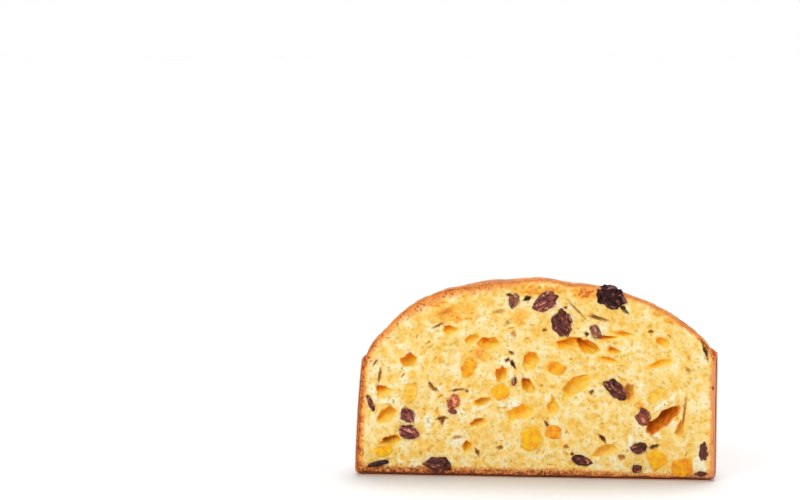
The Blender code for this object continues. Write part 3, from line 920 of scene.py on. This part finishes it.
def profile_normals(profile):
    """Outward direction of each point of a profile that runs from the top down the outside."""
    step = np.gradient(profile, axis=0)
    out = np.stack((-step[:, 1], step[:, 0]), axis=1)
    return out / np.linalg.norm(out, axis=1)[:, None]


def raisin_dip(points):
    """How far the crust sinks under each raisin that is baked into it."""
    x, z, length, width = FACE_RAISINS[0][:4]
    away = ((points[:, 0] - x) / (length / 2)) ** 2 + (points[:, 1] / (width * 0.5)) ** 2
    dip = FACE_DIP * np.clip(1.25 - away, 0, 1)
    for x, y, length, width, turn in DOME_RAISINS:
        along, across = turned(points[:, 0] - x, points[:, 1] - y, math.radians(turn))
        away = (along / (length / 2)) ** 2 + (across / (width / 2)) ** 2
        dip = np.maximum(dip, DOME_DIP * np.clip(1.3 - away, 0, 1))
    return dip


def crust_wrinkles(points):
    """How far the dome's crust stands out of the even loaf: dimples, folds and a fine grain."""
    dimples = noise_of(points / DIMPLE_SIZE + 5) * DIMPLE_DEPTH
    bend = noise_ways(points / FOLD_BEND_SIZE, (3.1, 8.2, 13.3)) * FOLD_BEND
    folds = ridged((points + bend) / FOLD_SIZE) * FOLD_DEPTH - FOLD_DEPTH / 2
    grain = noise_of(points / CRUST_GRAIN_SIZE) * CRUST_GRAIN_DEPTH
    return dimples + folds + grain


def crust_stand(even):
    """How far the crust stands out of the even loaf: freely on the dome, less in the case."""
    free = (even[:, 2] - CASE_HEIGHT + CRUST_FREE_FROM) / CRUST_FREE_FROM
    free = np.clip(free, CRUST_HELD, 1)
    lowest = -CRUST_LOWEST - CRUST_LOWER_BEHIND * even[:, 1]
    stand = np.maximum(crust_wrinkles(even) * free, lowest)
    return stand - raisin_dip(even) * (even[:, 2] > CASE_HEIGHT)


def on_cut(points):
    """Places moved onto the torn face of the cut."""
    moved = points.copy()
    moved[:, 1] = torn_relief(points[:, 0], points[:, 2])
    return moved


def crust_shell(outer, quads, outline, inset):
    """The crust's outside, its torn edge in the cut, and the flat wall behind the crumb."""
    deep = inset.copy()
    deep[:, 1] = CRUST_RECESS
    middle = np.array([[0, CRUST_RECESS, LOAF_HEIGHT / 2]])
    points = np.concatenate((outer, on_cut(inset), deep, middle))
    lips = len(outer) + np.arange(len(outline))
    deeps = lips + len(outline)
    bands = [np.stack((one[:-1], one[1:], two[1:], two[:-1]), 1)
             for one, two in ((outline, lips), (lips, deeps))]
    last = np.full(len(outline) - 1, len(points) - 1)
    fan = np.stack((deeps[:-1], deeps[1:], last), 1)
    faces = np.concatenate((quads, *bands))
    triangles = np.concatenate((faces[:, :3], faces[:, [0, 2, 3]], fan))
    obj = mesh_object("crust", points, triangles)
    work = bmesh.new()
    work.from_mesh(obj.data)
    bmesh.ops.remove_doubles(work, verts=work.verts, dist=0.01 * MM)
    bmesh.ops.recalc_face_normals(work, faces=work.faces)
    work.to_mesh(obj.data)
    work.free()
    obj.data.set_sharp_from_angle(angle=math.radians(60))
    return obj


def make_crust():
    profile = crust_profile()
    turns = np.linspace(0, math.pi, CRUST_TURN_STEPS + 1)
    even, out = swept(profile, turns), swept(profile_normals(profile), turns)
    outer = uneven(even + out * crust_stand(even)[:, None])
    grid, quads = grid_quads(len(profile), len(turns))
    # The outline of the cut, anticlockwise from the foot of the axis, seen from the front.
    outline = np.concatenate((grid[::-1, 0], grid[1:, -1]))
    outer[outline] = on_cut(outer[outline])
    thickness = CRUST_UNEVEN * noise_of(even[outline] / CRUST_UNEVEN_SIZE) + CRUST_THICKNESS
    inset = uneven(even[outline] - out[outline] * thickness[:, None])
    obj = crust_shell(outer, quads, outline, inset)
    places = places_of(obj)
    x, y, z = places.T
    set_attributes(
        obj,
        # The wrinkles go to the look for painted shade in the creases and painted light on the
        # crests.
        fold=crust_wrinkles(places),
        cut=y < torn_relief(x, z).ravel() + 0.02,
        salmon=0.75 * side_share(x, z, 1),
        height=z,
    )
    return dress(obj, crust_look(), "bread", "bread")


# Raisins and candied peel.


def ball_directions(subdivisions):
    """Even directions all round, and the triangles between them."""
    work = bmesh.new()
    bmesh.ops.create_icosphere(work, subdivisions=subdivisions, radius=1.0)
    work.verts.ensure_lookup_table()
    directions = np.array([v.co[:] for v in work.verts])
    faces = np.array([[v.index for v in f.verts] for f in work.faces])
    work.free()
    return directions, faces


def ball_radii(directions, length, width, front, back):
    """Half sizes of a ball, with its own depth before and behind its middle."""
    reach = np.where(directions[:, 1] < 0, front, back)
    return np.stack((np.full(len(reach), length / 2), reach, np.full(len(reach), width / 2)), 1)


def placed_object(name, points, faces, place):
    """A mesh object from places round its own middle, moved by a matrix in mm."""
    return mesh_object(name, np.array([place @ Vector(p) for p in points]), faces)


# Wrinkles of a raisin: the size in mm and the share of each layer, how far they bend and how
# narrow they are for their length, the height that stays where it is, and their depth for
# each mm of the raisin's width, up to the deepest.
WRINKLES = ((2.6, 0.65), (1.3, 0.35))
WRINKLE_BEND, WRINKLE_BEND_SIZE = 1.6, 4
WRINKLE_NARROWNESS = 0.4
WRINKLE_MIDDLE = 0.62
WRINKLE_DEPTH = 0.13
DEEPEST_WRINKLE = 1.3
LONG_RAISIN = 9


def wrinkled_raisin(name, length, width, front, seed, place):
    """A raisin: a dented ball with long, sharp wrinkles, placed by a matrix in mm."""
    directions, faces = ball_directions(5 if length > LONG_RAISIN else 4)
    radii = ball_radii(directions, length, width, front, width * RAISIN_DEPTH)
    swell = dented(seed, RAISIN_DENTS, RAISIN_FACETS)(directions)
    points = directions * radii * swell[:, None]
    out = directions / radii
    out /= np.linalg.norm(out, axis=1)[:, None]
    bend = noise_ways(points / WRINKLE_BEND_SIZE + seed, (0, 10, 20)) * WRINKLE_BEND
    long_way = (points + bend) * (WRINKLE_NARROWNESS, 1.0, 1.0)
    creases = sum(share * (1 - ridged(long_way / size + seed)) for size, share in WRINKLES)
    depth = min(DEEPEST_WRINKLE, width * WRINKLE_DEPTH)
    points = points + out * (creases[:, None] - WRINKLE_MIDDLE) * depth
    piece = placed_object(name, points, faces, place)
    # The creases go to the look for painted shade in them and a painted highlight on the crests.
    set_attributes(piece, fold=creases)
    return piece


def face_place(x, z, tilt, y=0.0):
    """Matrix of a place on the cut face, its right end raised by the tilt."""
    return Matrix.Translation((x, y, z)) @ Matrix.Rotation(-math.radians(tilt), 4, "Y")


def make_face_raisins():
    for i, (x, z, length, width, tilt, stand_out, look) in enumerate(FACE_RAISINS, 1):
        name = f"raisin_skin_{i:02d}"
        front, place = stand_out + FACE_BULGE, face_place(x, z, tilt)
        piece = wrinkled_raisin(name, length, width, front, i + FACE_SEED, place)
        dress(piece, raisin_look(look), "raisin", f"raisin_{i:02d}")


def make_dome_raisins():
    upright = Vector((0, 0, 1))
    for i, (x, y, length, width, turn) in enumerate(DOME_RAISINS, 1):
        top = uneven(np.array([[x, y, dome_height(math.hypot(x, y))]]))[0]
        lean = upright.rotation_difference(upright + Vector((x, y, 0)) / CASE_RADIUS)
        place = Matrix.Translation(Vector(top) - upright * DOME_SINK)
        place = place @ lean.to_matrix().to_4x4()
        place = place @ Matrix.Rotation(math.radians(turn), 4, "Z")
        place = place @ Matrix.Rotation(-math.pi / 2, 4, "X")
        name = f"raisin_skin_top_{i}"
        piece = wrinkled_raisin(name, length, width, DOME_STAND_OUT, i + DOME_SEED, place)
        dress(piece, raisin_look("baked"), "raisin", f"raisin_top_{i}")


# Relief of the candied peel: size and depth of its sunken faces and of its fine grain.
SUNKEN_SIZE, SUNKEN_DEPTH = 3.0, 0.55
PEEL_GRAIN_SIZE, PEEL_GRAIN_DEPTH = 1.1, 0.2


def candied_piece(name, length, width, seed, place):
    """A cut piece of candied peel: soft edges, sunken faces and an uneven outline."""
    directions, faces = ball_directions(4)
    radii = ball_radii(directions, length, width, CUBE_STAND_OUT, CUBE_DEPTH)
    points = directions * radii * chunky(seed)(directions)[:, None]
    sunken = noise_ways(points / SUNKEN_SIZE + seed, (3, 23, 43)) * SUNKEN_DEPTH
    grain = noise_ways(points / PEEL_GRAIN_SIZE + seed, (5, 25, 45)) * PEEL_GRAIN_DEPTH
    piece = placed_object(name, points + sunken + grain, faces, place)
    # The sides away from the cut are lightened in the look: painted light over the shade where the
    # peel meets the crumb.
    set_attributes(piece, rim=1 + np.minimum(directions[:, 1], 0))
    return piece


def make_candied_peel():
    for i, (x, z, length, width, tilt, look) in enumerate(CANDIED_CUBES, 1):
        name = f"candied_peel_{i:02d}"
        place = face_place(x, z, tilt, torn_relief(np.array(x), np.array(z)).item())
        piece = candied_piece(name, length, width, i + CUBE_SEED, place)
        dress(piece, candied_look(look), "candied", f"candied_orange_{i:02d}")


# The paper case.

PAPER_THICKNESS = 0.4
FLUTE_DEPTH = 0.2
FLUTES = 176
SOFTNESS = 0.2
SOFT_OUTWARDS = 0.15
SOFT_SIZE = (14, 14, 40)
CASE_TURN_STEPS = 760

# Steps of the case's outline over the base, the corner, the wall and the wall's finer top.
CASE_STEPS = (12, 7, 18, 12)
FINE_FROM = CASE_HEIGHT - 8


def case_profile():
    """Outer face of the even case, from the middle of its base up to its rim."""
    base, corner, wall, top = CASE_STEPS
    centre = CASE_RADIUS - CASE_CORNER
    points = [(r, 0.0) for r in np.linspace(0, centre, base)]
    for turn in np.linspace(0, math.pi / 2, corner)[1:]:
        points.append((centre + CASE_CORNER * math.sin(turn), CASE_CORNER * (1 - math.cos(turn))))
    for low, high, count in ((CASE_CORNER, FINE_FROM, wall), (FINE_FROM, CASE_HEIGHT, top)):
        points += [(CASE_RADIUS, z) for z in np.linspace(low, high, count)[1:]]
    return np.array(points)


def case_places(profile, turns):
    """Places of the case's outside: leaning like the loaf, fluted, soft, and uneven at its rim."""
    placed = uneven(swept(profile, turns))
    flute = np.sin(turns * FLUTES) * FLUTE_DEPTH * passing(profile[:, 1:], 2, 6)
    soft = noise_of(placed / SOFT_SIZE) * SOFTNESS + SOFT_OUTWARDS
    soft = soft * passing(placed[:, 2], 0, 30)
    angle = np.arctan2(placed[:, 1], placed[:, 0])
    up = passing(placed[:, 2], CASE_HEIGHT - RIM_REACH, CASE_HEIGHT)
    flare = np.where(np.cos(angle) > 0, -RIM_IN_RIGHT, RIM_IN_LEFT) * np.cos(angle) * up**4
    edge = RIM_TILT * np.cos(angle) + RIM_WAVE * np.sin(RIM_WAVES * angle)
    edge = edge + RIM_TIP * np.exp(-((angle / RIM_TIP_TURN) ** 2))
    outwards = np.stack((np.cos(angle), np.sin(angle), np.zeros_like(angle)), axis=1)
    placed = placed + outwards * (flare + soft + flute.ravel())[:, None]
    placed[:, 2] += edge * up
    return placed


def make_case():
    profile = case_profile()
    placed = case_places(profile, np.linspace(0, math.pi, CASE_TURN_STEPS + 1))
    _, quads = grid_quads(len(profile), CASE_TURN_STEPS + 1)
    obj = mesh_object("paper_wall", placed, quads[:, [0, 3, 2, 1]])
    wall = obj.modifiers.new("paper", "SOLIDIFY")
    wall.thickness = PAPER_THICKNESS * MM
    wall.offset = -1
    applied(obj)
    obj.data.set_sharp_from_angle(angle=math.radians(50))
    set_attributes(obj, inner=np.arange(len(obj.data.vertices)) >= len(placed))
    return dress(obj, paper_look(), "case", "paper_case")


# Materials.


def srgb(red, green, blue):
    """A screen colour, from 0 to 255, as the linear one that a shader takes."""
    shares = [v / 255 for v in (red, green, blue)]
    linear = [s / 12.92 if s <= 0.04045 else ((s + 0.055) / 1.055) ** 2.4 for s in shares]
    return (*linear, 1)


class Look:
    """A material under construction. Constants name its shader's sockets, with _ for a space."""

    def __init__(self, name, **constants):
        self.material = bpy.data.materials.new(name)
        self.material.use_nodes = True
        self.tree = self.material.node_tree
        self.shader = self.tree.nodes["Principled BSDF"]
        for key, value in constants.items():
            self.shader.inputs[key.replace("_", " ")].default_value = value

    def add(self, kind, inputs=None, **settings):
        made = self.tree.nodes.new(kind)
        for key, value in settings.items():
            setattr(made, key, value)
        for key, value in (inputs or {}).items():
            self.put(made.inputs[key], value)
        return made

    def put(self, socket, value):
        if isinstance(value, bpy.types.NodeSocket):
            self.tree.links.new(value, socket)
        else:
            socket.default_value = value

    def set(self, name, value):
        self.put(self.shader.inputs[name], value)

    def attribute(self, name):
        return self.add("ShaderNodeAttribute", attribute_name=name).outputs["Fac"]

    def place(self):
        return self.add("ShaderNodeTexCoord").outputs["Object"]

    def noise(self, size, detail=2.0, stretch=None):
        """Noise from 0 to 1 whose blobs have about this size in mm."""
        where = self.place()
        if stretch:
            mapping = self.add("ShaderNodeMapping", {"Vector": where, "Scale": stretch})
            where = mapping.outputs["Vector"]
        inputs = {"Vector": where, "Scale": 1 / (size * MM), "Detail": detail}
        return self.add("ShaderNodeTexNoise", inputs).outputs["Fac"]

    def patches(self, size, low, high, detail=2.0):
        """Noise of about this size in mm whose usual range is spread from low to high."""
        return self.between(self.noise(size, detail), 0.3, 0.7, low, high)

    def specks(self, spacing, reach, share):
        """Scattered specks, from 0 to 1: reach is a share of the spacing in mm between places
        that may have one, and share is how many of the places do."""
        inputs = {"Vector": self.place(), "Scale": 1 / (spacing * MM)}
        cells = self.add("ShaderNodeTexVoronoi", inputs)
        draw = self.add("ShaderNodeSeparateColor", {"Color": cells.outputs["Color"]}).outputs["Red"]
        wobble = self.patches(spacing * 0.35, -reach * 0.4, reach * 0.4)
        away = self.total(cells.outputs["Distance"], wobble)
        there = self.between(draw, 0.95 - share, 1.05 - share)
        return self.product(self.between(away, reach * 0.6, reach * 1.3, 1.0, 0.0), there)

    def bubbles(self, size):
        """Foam of about this size in mm: 0 in the middle of each bubble, higher at the walls."""
        scale = 1 / (size * MM)
        shift = self.add("ShaderNodeTexNoise", {"Vector": self.place(), "Scale": scale})
        inputs = {0: shift.outputs["Color"], "Scale": size * MM * 0.9}
        shift = self.add("ShaderNodeVectorMath", inputs, operation="SCALE").outputs[0]
        moved = self.add("ShaderNodeVectorMath", {0: self.place(), 1: shift}, operation="ADD")
        inputs = {"Vector": moved.outputs[0], "Scale": scale, "Smoothness": 0.6}
        return self.add("ShaderNodeTexVoronoi", inputs, feature="SMOOTH_F1").outputs["Distance"]

    def math(self, operation, one, two):
        return self.add("ShaderNodeMath", {0: one, 1: two}, operation=operation).outputs[0]

    def product(self, one, two):
        return self.math("MULTIPLY", one, two)

    def total(self, *values):
        added = values[0]
        for value in values[1:]:
            added = self.math("ADD", added, value)
        return added

    def between(self, value, low, high, to_low=0.0, to_high=1.0):
        """A value from low to high spread from to_low to to_high, and cut off beyond them."""
        inputs = {"Value": value, "From Min": low, "From Max": high, "To Min": to_low,
                  "To Max": to_high}
        return self.add("ShaderNodeMapRange", inputs).outputs["Result"]

    def ramp(self, value, *stops):
        """A colour ramp from stops: a position, and the red, green and blue of the screen there."""
        made = self.add("ShaderNodeValToRGB", {"Fac": value})
        elements = made.color_ramp.elements
        while len(elements) < len(stops):
            elements.new(0.5)
        for element, (position, *colour) in zip(elements, stops):
            element.position = position
            element.color = srgb(*colour)
        return made.outputs["Color"]

    def mix(self, share, one, two):
        made = self.add("ShaderNodeMix", data_type="RGBA")
        for number, value in ((0, share), (6, one), (7, two)):
            self.put(made.inputs[number], value)
        return made.outputs[2]

    def bump(self, height, depth):
        """Bump from heights between 0 and 1, this many mm deep."""
        made = self.add("ShaderNodeBump", {"Height": height, "Distance": depth * MM})
        self.set("Normal", made.outputs["Normal"])


def crumb_look():
    look = Look("crumb", Subsurface_Weight=0.35, Subsurface_Scale=1.0, Roughness=0.6,
                Subsurface_Radius=(0.0012, 0.0010, 0.0006), Specular_IOR_Level=0.25)
    colour = open_crumb_colour(look)
    # Painted shade on the walls of the holes and pits.
    inside = look.between(look.attribute("inside"), 0.15, 0.85)
    colour = look.mix(inside, colour, hole_colour(look))
    stain = look.between(look.noise(1.8, 3.0), 0.32, 0.62, 0.3, 1.0)
    stain = look.product(look.attribute("stain"), stain)
    soaked = look.ramp(
        stain,
        (0.10, 252, 212, 110),
        (0.45, 249, 188, 72),
        (0.80, 238, 146, 54),
        (1.00, 212, 102, 44),
    )
    colour = look.mix(look.between(stain, 0.05, 0.4), colour, soaked)
    look.set("Base Color", browned(look, colour))
    look.bump(look.total(look.bubbles(2.2), look.noise(0.6, 3.0)), 0.14)
    return look.material


def open_crumb_colour(look):
    """Cream and yellow patches, with painted shade that makes the pits, hollows and bubble middles
    yellower, a painted highlight on the raised folds, and olive specks as painted shade of the fine
    pores.
    """
    level = look.total(
        look.between(look.attribute("pit"), 0.45, 0.85, 0.0, 0.30),
        look.between(look.attribute("hollow"), 0.42, 0.80, 0.0, 0.30),
        look.patches(9.0, 0.22, 0.58),
        look.patches(3.0, -0.08, 0.08),
        # Painted shade in the middles of the bubbles and a painted highlight on their walls.
        look.between(look.bubbles(4.4), 0.1, 0.65, 0.18, -0.18),
        look.between(look.bubbles(2.0), 0.1, 0.6, 0.10, -0.10),
        # Painted highlight on the raised folds.
        look.between(look.attribute("pale"), 0.2, 0.9, 0.0, -0.6),
    )
    colour = look.ramp(
        level,
        (0.00, 255, 243, 210),
        (0.12, 255, 235, 184),
        (0.30, 254, 222, 146),
        (0.52, 251, 207, 106),
        (0.76, 247, 190, 74),
        (1.00, 236, 168, 50),
    )
    # Olive specks: painted shade of the fine pores.
    fine = look.product(look.specks(1.9, 0.31, 0.6), 0.45)
    bold = look.product(look.specks(3.6, 0.26, 0.5), 0.5)
    return look.mix(look.math("MAXIMUM", fine, bold), colour, srgb(204, 168, 66))


def hole_colour(look):
    """Painted shade on the wall of a hole: from yellow at an air hole's lower edge to brown at its
    back, and, in the upper half of the ramp, from light to dark brown for the small pits."""
    level = look.total(look.attribute("tone"), look.patches(2.4, -0.09, 0.09))
    return look.ramp(
        look.product(level, 0.5),
        (0.00, 255, 226, 134),
        (0.09, 255, 210, 76),
        (0.19, 255, 186, 34),
        (0.29, 252, 156, 14),
        (0.39, 218, 114, 12),
        (0.50, 112, 72, 12),
        (0.55, 112, 72, 12),
        (0.60, 228, 178, 92),
        (0.75, 182, 122, 50),
        (0.92, 88, 46, 22),
    )


def browned(look, colour):
    """The crumb's colour with the browning that reaches in from the crust."""
    baked = look.attribute("baked")
    baked = look.total(baked, look.patches(2.4, -0.30, 0.30), look.patches(0.9, -0.26, 0.26))
    level = look.product(baked, 0.7)
    crust = look.ramp(
        level,
        (0.05, 160, 76, 32),
        (0.22, 212, 114, 44),
        (0.42, 238, 148, 62),
        (0.68, 247, 182, 86),
        (0.98, 252, 208, 118),
    )
    right = look.ramp(
        level,
        (0.00, 234, 162, 126),
        (0.40, 238, 158, 110),
        (0.62, 238, 158, 70),
        (0.95, 250, 206, 110),
    )
    crust = look.mix(look.attribute("domed"), crust, srgb(246, 160, 80))
    crust = look.mix(look.attribute("salmon"), crust, right)
    porous = look.product(look.specks(1.7, 0.36, 0.55), look.attribute("porous"))
    crust = look.mix(porous, crust, srgb(178, 84, 34))
    scorched = look.ramp(
        look.noise(1.5, 3.0),
        (0.38, 100, 40, 16),
        (0.50, 190, 106, 50),
        (0.62, 240, 160, 86),
    )
    crust = look.mix(look.product(look.attribute("scorched"), 0.85), crust, scorched)
    return look.mix(look.between(baked, 0.9, 1.6, 1.0, 0.0), colour, crust)


def crust_look():
    look = Look("crust", Coat_Weight=0.08, Coat_Roughness=0.35, Subsurface_Weight=0.08,
                Subsurface_Radius=(0.0012, 0.0006, 0.0003), Specular_IOR_Level=0.3)
    # Painted shade in the creases of the folds and painted light on their crests.
    level = look.total(
        look.between(look.attribute("fold"), -0.5, 0.5, -0.16, 0.16),
        look.patches(30.0, 0.3, 0.7),
        look.patches(5.0, -0.14, 0.14, 3.0),
        look.patches(1.3, -0.10, 0.10, 3.0),
    )
    colour = look.ramp(
        level,
        (0.05, 128, 58, 22),
        (0.32, 172, 90, 36),
        (0.56, 206, 126, 58),
        (0.78, 226, 156, 84),
        (1.00, 240, 188, 124),
    )
    cut = look.ramp(
        look.patches(1.0, 0.0, 1.0, 3.0),
        (0.10, 130, 56, 18),
        (0.40, 198, 104, 42),
        (0.85, 234, 148, 74),
    )
    height = look.attribute("height")
    cut = look.mix(look.between(height, 58.0, 72.0, 0.0, 0.6), cut, srgb(242, 160, 84))
    cut = look.mix(look.attribute("salmon"), cut, srgb(240, 160, 116))
    # Near black at the foot of the cut edge: partly dark baking, partly painted contact shadow
    # where the loaf meets the floor.
    cut = look.mix(look.between(height, 1.0, 2.6, 1.0, 0.0), cut, srgb(64, 24, 10))
    look.set("Base Color", look.mix(look.attribute("cut"), colour, cut))
    look.set("Roughness", look.patches(4.0, 0.36, 0.56))
    look.bump(look.total(look.noise(0.7, 3.0), look.noise(2.2, 3.0)), 0.25)
    return look.material


# Colours of each raisin's creases, painted dark as painted shade, its body, and its crests, painted
# light as a painted highlight, and of each peel's deep and pale parts.
RAISIN_COLOURS = {
    "black": ((24, 6, 8), (60, 28, 30), (136, 80, 74)),
    "dark": ((46, 12, 6), (108, 46, 32), (190, 124, 100)),
    "plum": ((66, 20, 16), (146, 70, 58), (214, 150, 130)),
    "baked": ((30, 8, 4), (72, 30, 20), (140, 76, 54)),
    "brown": ((78, 36, 22), (146, 84, 58), (208, 154, 120)),
    "rust": ((88, 34, 22), (152, 72, 48), (214, 144, 106)),
    "amber": ((128, 52, 26), (202, 102, 56), (238, 170, 122)),
}
CANDIED_COLOURS = {
    "yellow": ((250, 164, 0), (255, 204, 8)),
    "orange": ((240, 136, 0), (255, 186, 8)),
    "straw": ((246, 182, 40), (255, 214, 90)),
}

# Coat and specular level of the raisins: the black one is dull.
DULL_RAISIN = (0.0, 0.1)
MOIST_RAISIN = (0.08, 0.25)


@cache
def raisin_look(name):
    crease, body, crest = RAISIN_COLOURS[name]
    coat, specular = DULL_RAISIN if name == "black" else MOIST_RAISIN
    look = Look("raisin_" + name, Coat_Weight=coat, Coat_Roughness=0.25, Subsurface_Weight=0.08,
                Subsurface_Radius=(0.0010, 0.0004, 0.0002), Specular_IOR_Level=specular)
    level = look.total(look.attribute("fold"), look.patches(1.8, -0.22, 0.22, 3.0))
    colour = look.ramp(level, (0.15, *crease), (0.55, *body), (0.82, *body), (1.0, *crest))
    look.set("Base Color", colour)
    look.set("Roughness", look.patches(2.0, 0.28, 0.48))
    look.bump(look.noise(0.5, 3.0), 0.08)
    return look.material


@cache
def candied_look(name):
    deep, pale = CANDIED_COLOURS[name]
    look = Look("candied_" + name, Coat_Weight=0.05, Coat_Roughness=0.3, Subsurface_Weight=0.35,
                Subsurface_Radius=(0.002, 0.0014, 0.0004), Specular_IOR_Level=0.3)
    level = look.between(look.noise(3.2, 4.0), 0.34, 0.66)
    colour = look.ramp(level, (0.1, *deep), (0.9, *pale))
    # Painted light on the sides of the piece, over the shade where it meets the crumb.
    rim = look.total(look.attribute("rim"), look.patches(1.6, -0.2, 0.2))
    rim = look.between(rim, 0.35, 0.95, 0.0, 0.75)
    look.set("Base Color", look.mix(rim, colour, srgb(255, 214, 96)))
    look.set("Roughness", look.patches(1.6, 0.25, 0.42))
    look.bump(look.noise(0.9, 3.0), 0.2)
    return look.material


def paper_look():
    """Brown baking paper, salmon inside where it lies against the crust: partly stained by it,
    partly painted light bounced off the crust that lifts the shade between them.
    """
    look = Look("baking_paper", Subsurface_Weight=0.3,
                Subsurface_Radius=(0.0015, 0.0010, 0.0007))
    fibres = look.noise(0.35, 3.0, (1.0, 1.0, 0.35))
    colour = look.ramp(
        look.total(fibres, look.patches(26.0, -0.12, 0.12)),
        (0.15, 176, 122, 92),
        (0.50, 204, 150, 118),
        (0.90, 220, 172, 142),
    )
    # Salmon inner face: partly stain, partly painted bounced light against the shade in the gap.
    look.set("Base Color", look.mix(look.attribute("inner"), colour, srgb(246, 172, 124)))
    look.set("Roughness", look.patches(3.0, 0.6, 0.8))
    look.bump(fibres, 0.05)
    return look.material


# Floor, light and camera.

FACE_CENTRE = Vector((0.0, AXIS_Y * MM, 0.0525))
CAMERA_AZIMUTH = math.radians(2.4)
CAMERA_ELEVATION = math.radians(8.5)
CAMERA_DISTANCE = 1.3
PIXELS_PER_METRE = 1900
IMAGE_SIZE = (800, 500)
FACE_PIXEL = (535.4, 378.3)
SENSOR_WIDTH = 36.0
FLOOR_REACH = 12000.0

# Suns: name, the way that each shines from, its spread in degrees, and its strength.
SUNS = (
    ("key", (-0.45, -1.0, 1.0), 50, 0.75),
    ("fill", (0.9, -1.2, 0.6), 60, 0.3),
    ("top", (0.1, 0.45, 1.2), 40, 2.6),
)
GLOSS_PLACE = (-0.45, -0.8, 0.9)
GLOSS_TARGET = (0.0, 0.0, 0.05)
GLOSS_SIZE = 0.35
GLOSS_POWER = 1.2
WORLD_LIGHT = 0.46


def aim(obj, target):
    obj.rotation_euler = (target - obj.location).to_track_quat("-Z", "Y").to_euler()


def make_camera():
    azimuth, elevation = CAMERA_AZIMUTH, CAMERA_ELEVATION
    way = Vector((
        math.sin(azimuth) * math.cos(elevation),
        -math.cos(azimuth) * math.cos(elevation),
        math.sin(elevation),
    ))
    data = bpy.data.cameras.new("camera")
    camera = bpy.data.objects.new("camera", data)
    bpy.context.scene.collection.objects.link(camera)
    camera.location = FACE_CENTRE + way * CAMERA_DISTANCE
    data.sensor_width = SENSOR_WIDTH
    data.lens = PIXELS_PER_METRE * CAMERA_DISTANCE * SENSOR_WIDTH / IMAGE_SIZE[0]
    data.clip_start = 0.05
    right = Vector((math.cos(azimuth), math.sin(azimuth), 0))
    up = way.cross(right)
    right_by = (FACE_PIXEL[0] - IMAGE_SIZE[0] / 2) / PIXELS_PER_METRE
    down_by = (FACE_PIXEL[1] - IMAGE_SIZE[1] / 2) / PIXELS_PER_METRE
    aim(camera, FACE_CENTRE - right * right_by + up * down_by)
    bpy.context.scene.camera = camera


def make_floor():
    """A white floor, so wide that its far edge is lost in the white behind it."""
    ends = (-FLOOR_REACH, FLOOR_REACH)
    points = [(x, y, 0.0) for y in ends for x in ends]
    obj = mesh_object("floor", points, [(0, 1, 3, 2)])
    look = Look("floor", Roughness=0.6, Specular_IOR_Level=0.1)
    look.set("Base Color", look.mix(look.noise(400.0), srgb(222, 222, 222), srgb(228, 228, 228)))
    obj.data.materials.append(look.material)


def add_light(name, kind, place, target, power, **settings):
    data = bpy.data.lights.new(name, kind)
    data.energy = power
    for key, value in settings.items():
        setattr(data, key, value)
    light = bpy.data.objects.new(name, data)
    bpy.context.scene.collection.objects.link(light)
    light.location = place
    aim(light, Vector(target))


def make_world():
    """White all round: as bright as paper for the camera, and softer as a light."""
    world = bpy.data.worlds.new("white")
    bpy.context.scene.world = world
    world.use_nodes = True
    tree = world.node_tree
    background = tree.nodes["Background"]
    background.inputs["Color"].default_value = (1, 1, 1, 1)
    path = tree.nodes.new("ShaderNodeLightPath")
    strength = tree.nodes.new("ShaderNodeMapRange")
    strength.inputs["To Min"].default_value = WORLD_LIGHT
    strength.inputs["To Max"].default_value = 1.0
    tree.links.new(path.outputs["Is Camera Ray"], strength.inputs["Value"])
    tree.links.new(strength.outputs["Result"], background.inputs["Strength"])


def make_light():
    """Even light from three sides, which reaches the whole floor alike, and one soft gloss."""
    make_world()
    for name, way, spread, strength in SUNS:
        add_light(name, "SUN", way, (0, 0, 0), strength, angle=math.radians(spread))
    add_light("gloss", "AREA", GLOSS_PLACE, GLOSS_TARGET, GLOSS_POWER, shape="RECTANGLE",
              size=GLOSS_SIZE, size_y=GLOSS_SIZE)
    settings = bpy.context.scene.view_settings
    settings.view_transform = "Standard"
    settings.look = "None"
    settings.exposure = 0.0
    settings.gamma = 1.0


make_camera()
make_floor()
make_light()
make_crumb()
make_crust()
make_face_raisins()
make_dome_raisins()
make_candied_peel()
make_case()
